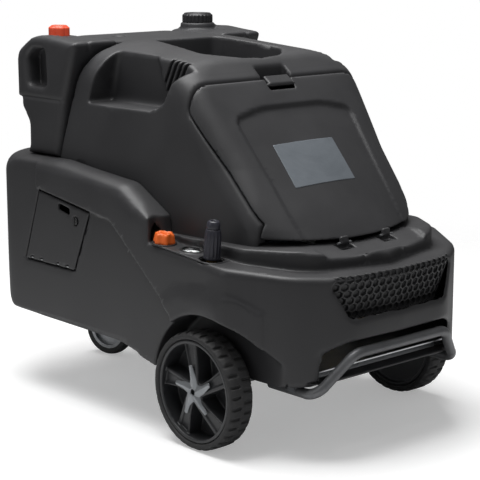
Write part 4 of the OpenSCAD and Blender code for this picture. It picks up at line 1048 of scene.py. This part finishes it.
def moulded_grain():
    """Fine pebbled grain of moulded plastic: a height and a slow tone."""
    tree, given, out = new_group("moulded_grain", {"Scale": 900.0, "Cloud": 7.0}, ("Height", "Tone"))
    at = object_point(tree)
    pebble = add(tree, "ShaderNodeTexVoronoi", feature="SMOOTH_F1")
    tree.links.new(at, pebble.inputs["Vector"])
    tree.links.new(given.outputs["Scale"], pebble.inputs["Scale"])
    fine = noise(tree, at, given.outputs["Scale"], 2.0)
    height = maths(tree, "ADD", pebble.outputs["Distance"], fine)
    tree.links.new(height, out.inputs["Height"])
    cloud = noise(tree, at, given.outputs["Cloud"], 5.0)
    tree.links.new(cloud, out.inputs["Tone"])
    return tree


def edge_wear():
    """Mask of rubbed edges, broken up by noise."""
    tree, given, out = new_group("edge_wear", {"Start": 0.52, "Width": 0.10, "Scale": 40.0}, ("Mask",))
    bend = add(tree, "ShaderNodeNewGeometry").outputs["Pointiness"]
    over = maths(tree, "SUBTRACT", bend, given.outputs["Start"])
    edge = maths(tree, "DIVIDE", over, given.outputs["Width"], clamp=True)
    at = object_point(tree)
    patch = noise(tree, at, given.outputs["Scale"], 4.0)
    mask = maths(tree, "MULTIPLY", edge, maths(tree, "ADD", patch, 0.25, clamp=True), clamp=True)
    tree.links.new(mask, out.inputs["Mask"])
    return tree


def dust_and_top_sheen():
    """Mask of thin dust and painted top sheen on the faces that look up."""
    tree, given, out = new_group("dust_and_top_sheen", {"Amount": 0.5, "Scale": 22.0}, ("Mask",))
    normal = add(tree, "ShaderNodeNewGeometry").outputs["Normal"]
    split = add(tree, "ShaderNodeSeparateXYZ")
    tree.links.new(normal, split.inputs[0])
    # painted top light: the more a face looks up, the more it is lifted, partly dust and partly painted
    # sheen
    up = maths(tree, "POWER", maths(tree, "MAXIMUM", split.outputs["Z"], 0.0), 2.0)
    at = object_point(tree)
    patch = noise(tree, at, given.outputs["Scale"], 6.0, 0.65)
    mask = maths(tree, "MULTIPLY", maths(tree, "MULTIPLY", up, patch), given.outputs["Amount"], clamp=True)
    tree.links.new(mask, out.inputs["Mask"])
    return tree


def brushed_metal():
    """Streaks along one axis and slow stains of a metal surface."""
    tree, given, out = new_group("brushed_metal", {"Scale": 60.0, "Stretch": 12.0}, ("Height", "Tone"))
    at = object_point(tree)
    stretch = add(tree, "ShaderNodeVectorMath", operation="MULTIPLY")
    tree.links.new(at, stretch.inputs[0])
    join = add(tree, "ShaderNodeCombineXYZ")
    join.inputs["X"].default_value = 1.0
    join.inputs["Z"].default_value = 1.0
    tree.links.new(given.outputs["Stretch"], join.inputs["Y"])
    tree.links.new(join.outputs[0], stretch.inputs[1])
    streak = noise(tree, stretch.outputs[0], given.outputs["Scale"], 5.0, 0.7)
    stain = noise(tree, at, 18.0, 4.0)
    tree.links.new(streak, out.inputs["Height"])
    tree.links.new(stain, out.inputs["Tone"])
    return tree


GROUPS = {build.__name__: build() for build in (moulded_grain, edge_wear, dust_and_top_sheen, brushed_metal)}


# ---------- finishes ----------
class Finish:
    """One material with a Principled shader, and short calls that add to it."""

    def __init__(self, name):
        self.material = bpy.data.materials.new(name)
        self.material.use_nodes = True
        self.tree = self.material.node_tree
        self.shader = self.tree.nodes["Principled BSDF"]

    def use(self, group, **values):
        node = add(self.tree, "ShaderNodeGroup", node_tree=GROUPS[group])
        for key, value in values.items():
            node.inputs[key].default_value = value
        return node.outputs

    def mix(self, mask, a, b):
        """Colour a where the mask is 0 and b where it is 1. a may be a socket."""
        node = add(self.tree, "ShaderNodeMix", data_type="RGBA")
        self.tree.links.new(mask, node.inputs["Factor"])
        for socket, value in ((node.inputs[6], a), (node.inputs[7], b)):
            if isinstance(value, tuple):
                socket.default_value = (*value, 1)
            else:
                self.tree.links.new(value, socket)
        return node.outputs[2]

    def spread(self, value, low, high, start=0.0, end=1.0):
        """Maps a value to a range."""
        node = add(self.tree, "ShaderNodeMapRange")
        self.tree.links.new(value, node.inputs["Value"])
        for key, number in (("From Min", start), ("From Max", end), ("To Min", low), ("To Max", high)):
            node.inputs[key].default_value = number
        return node.outputs["Result"]

    def drive(self, socket, value):
        self.tree.links.new(value, self.shader.inputs[socket])

    def bump(self, height, strength, distance):
        node = add(self.tree, "ShaderNodeBump")
        node.inputs["Strength"].default_value = strength
        node.inputs["Distance"].default_value = distance
        self.tree.links.new(height, node.inputs["Height"])
        self.drive("Normal", node.outputs[0])

    def set(self, **values):
        for key, value in values.items():
            self.shader.inputs[key.replace("_", " ")].default_value = value
        return self


def srgb(r, g, b):
    """A colour given as seen on a screen, 0 to 255, as linear light."""
    return tuple(((c / 255 + 0.055) / 1.055) ** 2.4 if c > 10 else c / 3294.6 for c in (r, g, b))


# pale grey of dust that also stands in for a painted sheen on faces that look up
DUST_AND_SHEEN_COLOUR = (0.20, 0.195, 0.19)
FINISHES = {}
FINISH_OF = {}


def once(build):
    """Builds each finish the first time that it is asked for, and lists it under its material slot."""
    def get():
        if build.__name__ not in FINISHES:
            FINISHES[build.__name__] = build()
        return FINISHES[build.__name__]

    FINISH_OF[build.__name__] = get
    return get


def plastic(name, dark, light, rough, grain=900.0, depth=0.10, dust_and_sheen_amount=0.35, wear=0.3):
    """Moulded plastic between two screen colours: slow tone, pebbled grain, rubbed edges, thin dust with
    painted top sheen.
    """
    dark, light = srgb(*dark), srgb(*light)
    made = Finish(name)
    surface = made.use("moulded_grain", Scale=grain)
    colour = made.mix(made.spread(surface["Tone"], 0, 1, 0.3, 0.7), dark, light)
    edges = made.use("edge_wear", Width=0.12)["Mask"]
    pale = tuple(c * 1.5 + 0.02 for c in light)
    colour = made.mix(made.spread(edges, 0, wear), colour, pale)
    dust_and_sheen_mask = made.use("dust_and_top_sheen", Amount=dust_and_sheen_amount)["Mask"]
    # faces that look up are mixed towards pale grey: thin dust together with a painted sheen of the
    # overhead light
    colour = made.mix(made.spread(dust_and_sheen_mask, 0, 0.3), colour, DUST_AND_SHEEN_COLOUR)
    made.drive("Base Color", colour)
    made.drive("Roughness", made.spread(surface["Tone"], rough - 0.06, rough + 0.08, 0.25, 0.75))
    made.bump(surface["Height"], 0.25, depth * MM)
    return made.material


def metal(name, dark, light, rough, metallic=1.0, scale=60.0, stretch=12.0):
    """Metal between two screen colours, with streaks, slow stains and brighter rubbed edges."""
    dark, light = srgb(*dark), srgb(*light)
    made = Finish(name)
    surface = made.use("brushed_metal", Scale=scale, Stretch=stretch)
    colour = made.mix(made.spread(surface["Tone"], 0, 1, 0.3, 0.7), dark, light)
    edges = made.use("edge_wear", Width=0.15)["Mask"]
    colour = made.mix(made.spread(edges, 0, 0.4), colour, tuple(min(1, c * 1.3) for c in light))
    made.drive("Base Color", colour)
    made.drive("Roughness", made.spread(surface["Height"], rough - 0.08, rough + 0.10, 0.25, 0.75))
    made.bump(surface["Height"], 0.15, 0.05 * MM)
    made.set(Metallic=metallic)
    return made.material


@once
def body_plastic():
    return plastic("charcoal_moulding", (39, 39, 41), (46, 46, 48), 0.5)


@once
def console_plastic():
    return plastic("console_moulding", (40, 40, 42), (47, 47, 49), 0.46)


@once
def black_plastic():
    return plastic("black_moulding", (24, 24, 25), (31, 31, 33), 0.42, dust_and_sheen_amount=0.2)


@once
def grille_plastic():
    return plastic("grille_moulding", (34, 34, 36), (40, 40, 42), 0.5)


@once
def rim_plastic():
    return plastic("rim_moulding", (36, 37, 39), (43, 44, 46), 0.4, dust_and_sheen_amount=0.2)


@once
def tyre_rubber():
    return plastic("tyre_rubber", (34, 34, 35), (41, 41, 42), 0.7, 500.0, 0.3, dust_and_sheen_amount=0.6, wear=0.45)


@once
def hub_silver():
    return metal("hub_silver", (128, 131, 134), (150, 153, 156), 0.34, metallic=0.75, stretch=1.0)


@once
def orange_cap():
    return plastic("orange_cap", (222, 74, 44), (232, 88, 56), 0.38, grain=700.0, dust_and_sheen_amount=0.25, wear=0.25)


@once
def orange_knob():
    return plastic("orange_knob", (222, 96, 32), (232, 110, 44), 0.34, grain=700.0, dust_and_sheen_amount=0.2, wear=0.25)


@once
def nozzle_plastic():
    return plastic("nozzle_moulding", (38, 38, 46), (46, 46, 56), 0.34, dust_and_sheen_amount=0.15)


@once
def label_metal():
    return metal("bare_label_plate", (106, 112, 118), (116, 122, 128), 0.45, metallic=0.35, stretch=20.0)


@once
def seal_rubber():
    return plastic("seal_rubber", (26, 26, 27), (34, 34, 35), 0.75, grain=600.0)


@once
def needle_black():
    return plastic("needle_paint", (14, 14, 14), (20, 20, 20), 0.4, dust_and_sheen_amount=0.0, wear=0.0)


@once
def white_plastic():
    return plastic("tank_white", (214, 216, 212), (224, 226, 222), 0.5, dust_and_sheen_amount=0.5)


@once
def box_grey():
    return plastic("box_grey", (196, 199, 201), (206, 209, 211), 0.48, dust_and_sheen_amount=0.5)


@once
def steel_zinc():
    return metal("zinc_plate", (160, 162, 164), (184, 186, 188), 0.36)


@once
def frame_paint():
    return metal("frame_powder_coat", (78, 80, 83), (90, 92, 95), 0.5, metallic=0.1, stretch=1.0)


@once
def bumper_metal():
    return metal("bumper_satin_paint", (92, 93, 95), (106, 107, 109), 0.4, metallic=0.5, stretch=1.0)


@once
def castor_grey():
    return metal("castor_zinc", (140, 142, 145), (160, 162, 165), 0.4, metallic=0.8, stretch=2.0)


@once
def brake_red():
    return plastic("brake_red", (190, 46, 36), (204, 58, 46), 0.42)


@once
def motor_paint():
    return metal("motor_enamel", (82, 92, 104), (94, 104, 116), 0.42, metallic=0.1, stretch=1.0)


@once
def burner_paint():
    return metal("burner_enamel", (112, 26, 26), (130, 34, 32), 0.4, metallic=0.1, stretch=1.0)


@once
def cast_aluminium():
    return metal("cast_aluminium", (168, 171, 173), (190, 193, 195), 0.5, scale=220.0, stretch=1.0)


@once
def stainless():
    return metal("stainless", (150, 153, 156), (176, 179, 181), 0.3, stretch=30.0)


@once
def coil_steel():
    return metal("coil_steel", (96, 90, 86), (122, 116, 112), 0.45, scale=120.0, stretch=1.0)


@once
def brass():
    return metal("brass", (178, 142, 84), (204, 170, 108), 0.3, scale=90.0)


@once
def gauge_glass():
    made = Finish("gauge_glass")
    smear = made.use("moulded_grain", Scale=30.0)["Tone"]
    made.drive("Roughness", made.spread(smear, 0.02, 0.08))
    made.set(Base_Color=(1, 1, 1, 1), Transmission_Weight=1.0, IOR=1.05)
    return made.material


DIAL_STEP = 13.5            # degrees between two marks of the dial


@once
def dial_white():
    """White dial with plain marks on its rim and a thin arc."""
    made = Finish("dial_white")
    tree = made.tree
    at = object_point(tree)
    local = add(tree, "ShaderNodeVectorMath", operation="SUBTRACT")
    tree.links.new(at, local.inputs[0])
    local.inputs[1].default_value = middle("gauge_dial") * MM
    split = add(tree, "ShaderNodeSeparateXYZ")
    tree.links.new(local.outputs[0], split.inputs[0])
    x, y = split.outputs["X"], split.outputs["Y"]
    square = maths(tree, "ADD", maths(tree, "MULTIPLY", x, x), maths(tree, "MULTIPLY", y, y))
    radius = maths(tree, "SQRT", square)
    turn = maths(tree, "DIVIDE", maths(tree, "ARCTAN2", x, y), math.radians(DIAL_STEP))
    part = maths(tree, "FRACT", maths(tree, "ADD", turn, 100.0))
    off = maths(tree, "ABSOLUTE", maths(tree, "SUBTRACT", part, 0.5))
    tick = maths(tree, "GREATER_THAN", off, 0.38)
    outer = maths(tree, "GREATER_THAN", radius, 14.5 * MM)
    inner = maths(tree, "LESS_THAN", radius, 18.5 * MM)
    marks = maths(tree, "MULTIPLY", tick, maths(tree, "MULTIPLY", outer, inner))
    line = maths(tree, "COMPARE", radius, 13.4 * MM)
    tree.nodes[-1].inputs[2].default_value = 0.35 * MM
    ink = maths(tree, "MAXIMUM", marks, line)
    surface = made.use("moulded_grain", Scale=600.0)
    paper = made.mix(surface["Tone"], srgb(226, 227, 228), srgb(240, 241, 242))
    made.drive("Base Color", made.mix(ink, paper, srgb(30, 30, 32)))
    made.drive("Roughness", made.spread(surface["Tone"], 0.4, 0.55))
    return made.material


def paint_carried_nodes():
    """Every node that still shows takes the finish of its material slot."""
    for name, piece in frame["nodes"].items():
        if piece.hide_render:
            continue
        finish = FINISH_OF[SLOT_OF[name]]()
        for place in piece.material_slots:
            place.material = finish
        if not piece.material_slots:
            piece.data.materials.append(finish)


# ---------- studio ----------
CAMERA_AT = Vector((-2399.6, -2661.0, 1115.6)) * MM
CAMERA_LOOK = Vector((0.6595, 0.7240, -0.2023))
CAMERA_LENS = 115.4
ROOM_LIGHT = 0.16           # strength of the white surroundings as a lamp
FLOOR_LIFT = 0.34           # glow that brings the floor up to white
FLOOR_FADE = (1.2, 2.4)     # where the floor starts and ends its fade, in metres


def studio_camera():
    data = bpy.data.cameras.new("studio_camera")
    data.lens = CAMERA_LENS
    data.sensor_width = 36
    data.clip_end = 60
    camera = bpy.data.objects.new("studio_camera", data)
    camera.location = CAMERA_AT
    camera.rotation_mode = "QUATERNION"
    camera.rotation_quaternion = CAMERA_LOOK.to_track_quat("-Z", "Y")
    link(camera)
    bpy.context.scene.camera = camera


def soft_box(name, at, aim, size, power):
    data = bpy.data.lights.new(name, "AREA")
    data.shape = "RECTANGLE"
    data.size, data.size_y = size
    data.energy = power
    lamp = bpy.data.objects.new(name, data)
    lamp.location = at
    lamp.rotation_mode = "QUATERNION"
    lamp.rotation_quaternion = (Vector(aim) - Vector(at)).to_track_quat("-Z", "Y")
    link(lamp)


def studio_world():
    world = bpy.data.worlds.new("studio_world")
    bpy.context.scene.world = world
    world.use_nodes = True
    tree = world.node_tree
    shade = tree.nodes["Background"]
    shade.inputs["Color"].default_value = (1, 1, 1, 1)
    path = add(tree, "ShaderNodeLightPath")
    seen = maths(tree, "MAXIMUM", path.outputs["Is Camera Ray"], path.outputs["Is Transmission Ray"])
    strength = add(tree, "ShaderNodeMapRange")
    tree.links.new(seen, strength.inputs["Value"])
    strength.inputs["To Min"].default_value = ROOM_LIGHT
    strength.inputs["To Max"].default_value = 1.0
    tree.links.new(strength.outputs["Result"], shade.inputs["Strength"])


def studio_floor():
    """Pale floor that fades into the white surroundings and keeps the shadow."""
    mesh = bpy.data.meshes.new("studio_floor")
    half = 6.0
    corners = [(-half, -half, 0), (half, -half, 0), (half, half, 0), (-half, half, 0)]
    mesh.from_pydata(corners, [], [(0, 1, 2, 3)])
    floor = link(bpy.data.objects.new("studio_floor", mesh))
    material = bpy.data.materials.new("studio_floor_white")
    material.use_nodes = True
    tree = material.node_tree
    tree.nodes.remove(tree.nodes["Principled BSDF"])
    white = add(tree, "ShaderNodeBsdfDiffuse")
    white.inputs["Color"].default_value = (0.8, 0.8, 0.8, 1)
    lift = add(tree, "ShaderNodeEmission")
    path = add(tree, "ShaderNodeLightPath")
    lift.inputs["Color"].default_value = (1, 1, 1, 1)
    glow = maths(tree, "MULTIPLY", path.outputs["Is Camera Ray"], FLOOR_LIFT)
    tree.links.new(glow, lift.inputs["Strength"])
    joined = add(tree, "ShaderNodeAddShader")
    tree.links.new(white.outputs[0], joined.inputs[0])
    tree.links.new(lift.outputs[0], joined.inputs[1])
    at = object_point(tree)
    far = add(tree, "ShaderNodeVectorMath", operation="LENGTH")
    tree.links.new(at, far.inputs[0])
    fade = add(tree, "ShaderNodeMapRange", interpolation_type="SMOOTHSTEP")
    tree.links.new(far.outputs["Value"], fade.inputs["Value"])
    fade.inputs["From Min"].default_value, fade.inputs["From Max"].default_value = FLOOR_FADE
    clear = add(tree, "ShaderNodeBsdfTransparent")
    blend = add(tree, "ShaderNodeMixShader")
    tree.links.new(fade.outputs["Result"], blend.inputs["Fac"])
    tree.links.new(joined.outputs[0], blend.inputs[1])
    tree.links.new(clear.outputs[0], blend.inputs[2])
    tree.links.new(blend.outputs[0], tree.nodes["Material Output"].inputs["Surface"])
    mesh.materials.append(material)


def studio():
    studio_camera()
    studio_world()
    studio_floor()
    soft_box("overhead_box", (-0.3, 0.2, 3.0), (0, 0, 0.5), (2.4, 2.0), 120)
    soft_box("front_box", (-1.2, -3.2, 2.2), (0, 0, 0.5), (1.6, 1.6), 6)
    soft_box("side_box", (-3.2, 0.6, 1.8), (0, 0, 0.5), (1.6, 1.4), 8)
    bpy.context.scene.view_settings.view_transform = "Standard"


# ---------- the machine ----------
base_shell()
hood_shell()
front_lid()
label_plate()
lid_latch()
front_grille()
tank("left_detergent_tank", -1, 0, "detergent_tank")
tank("right_fuel_tank", 1, FUEL_NECK, "fuel_tank")
lobed_cap("detergent_filler_cap", (-CAP_X, CAP_Y, NECK_Z + 0.3), 26.5, 27, 6, 4, "detergent_cap",
          ["detergent_cap"], orange_cap())
lobed_cap("fuel_filler_cap", (CAP_X, CAP_Y, NECK_Z + FUEL_NECK), 39.5, 24, 22, 2.6, "fuel_cap",
          ["fuel_cap"], black_plastic())
side_hatch()
hatch_lock()
console_plate()
temperature_knob()
knob_collar()
gauge_case()
nozzle_cup()
rotary_nozzle()
for turn, wheel in ((-1, "left"), (1, "right")):
    tyre(turn, wheel)
    rim(turn, wheel)
    hub_star(turn, wheel)
paint_carried_nodes()
studio()
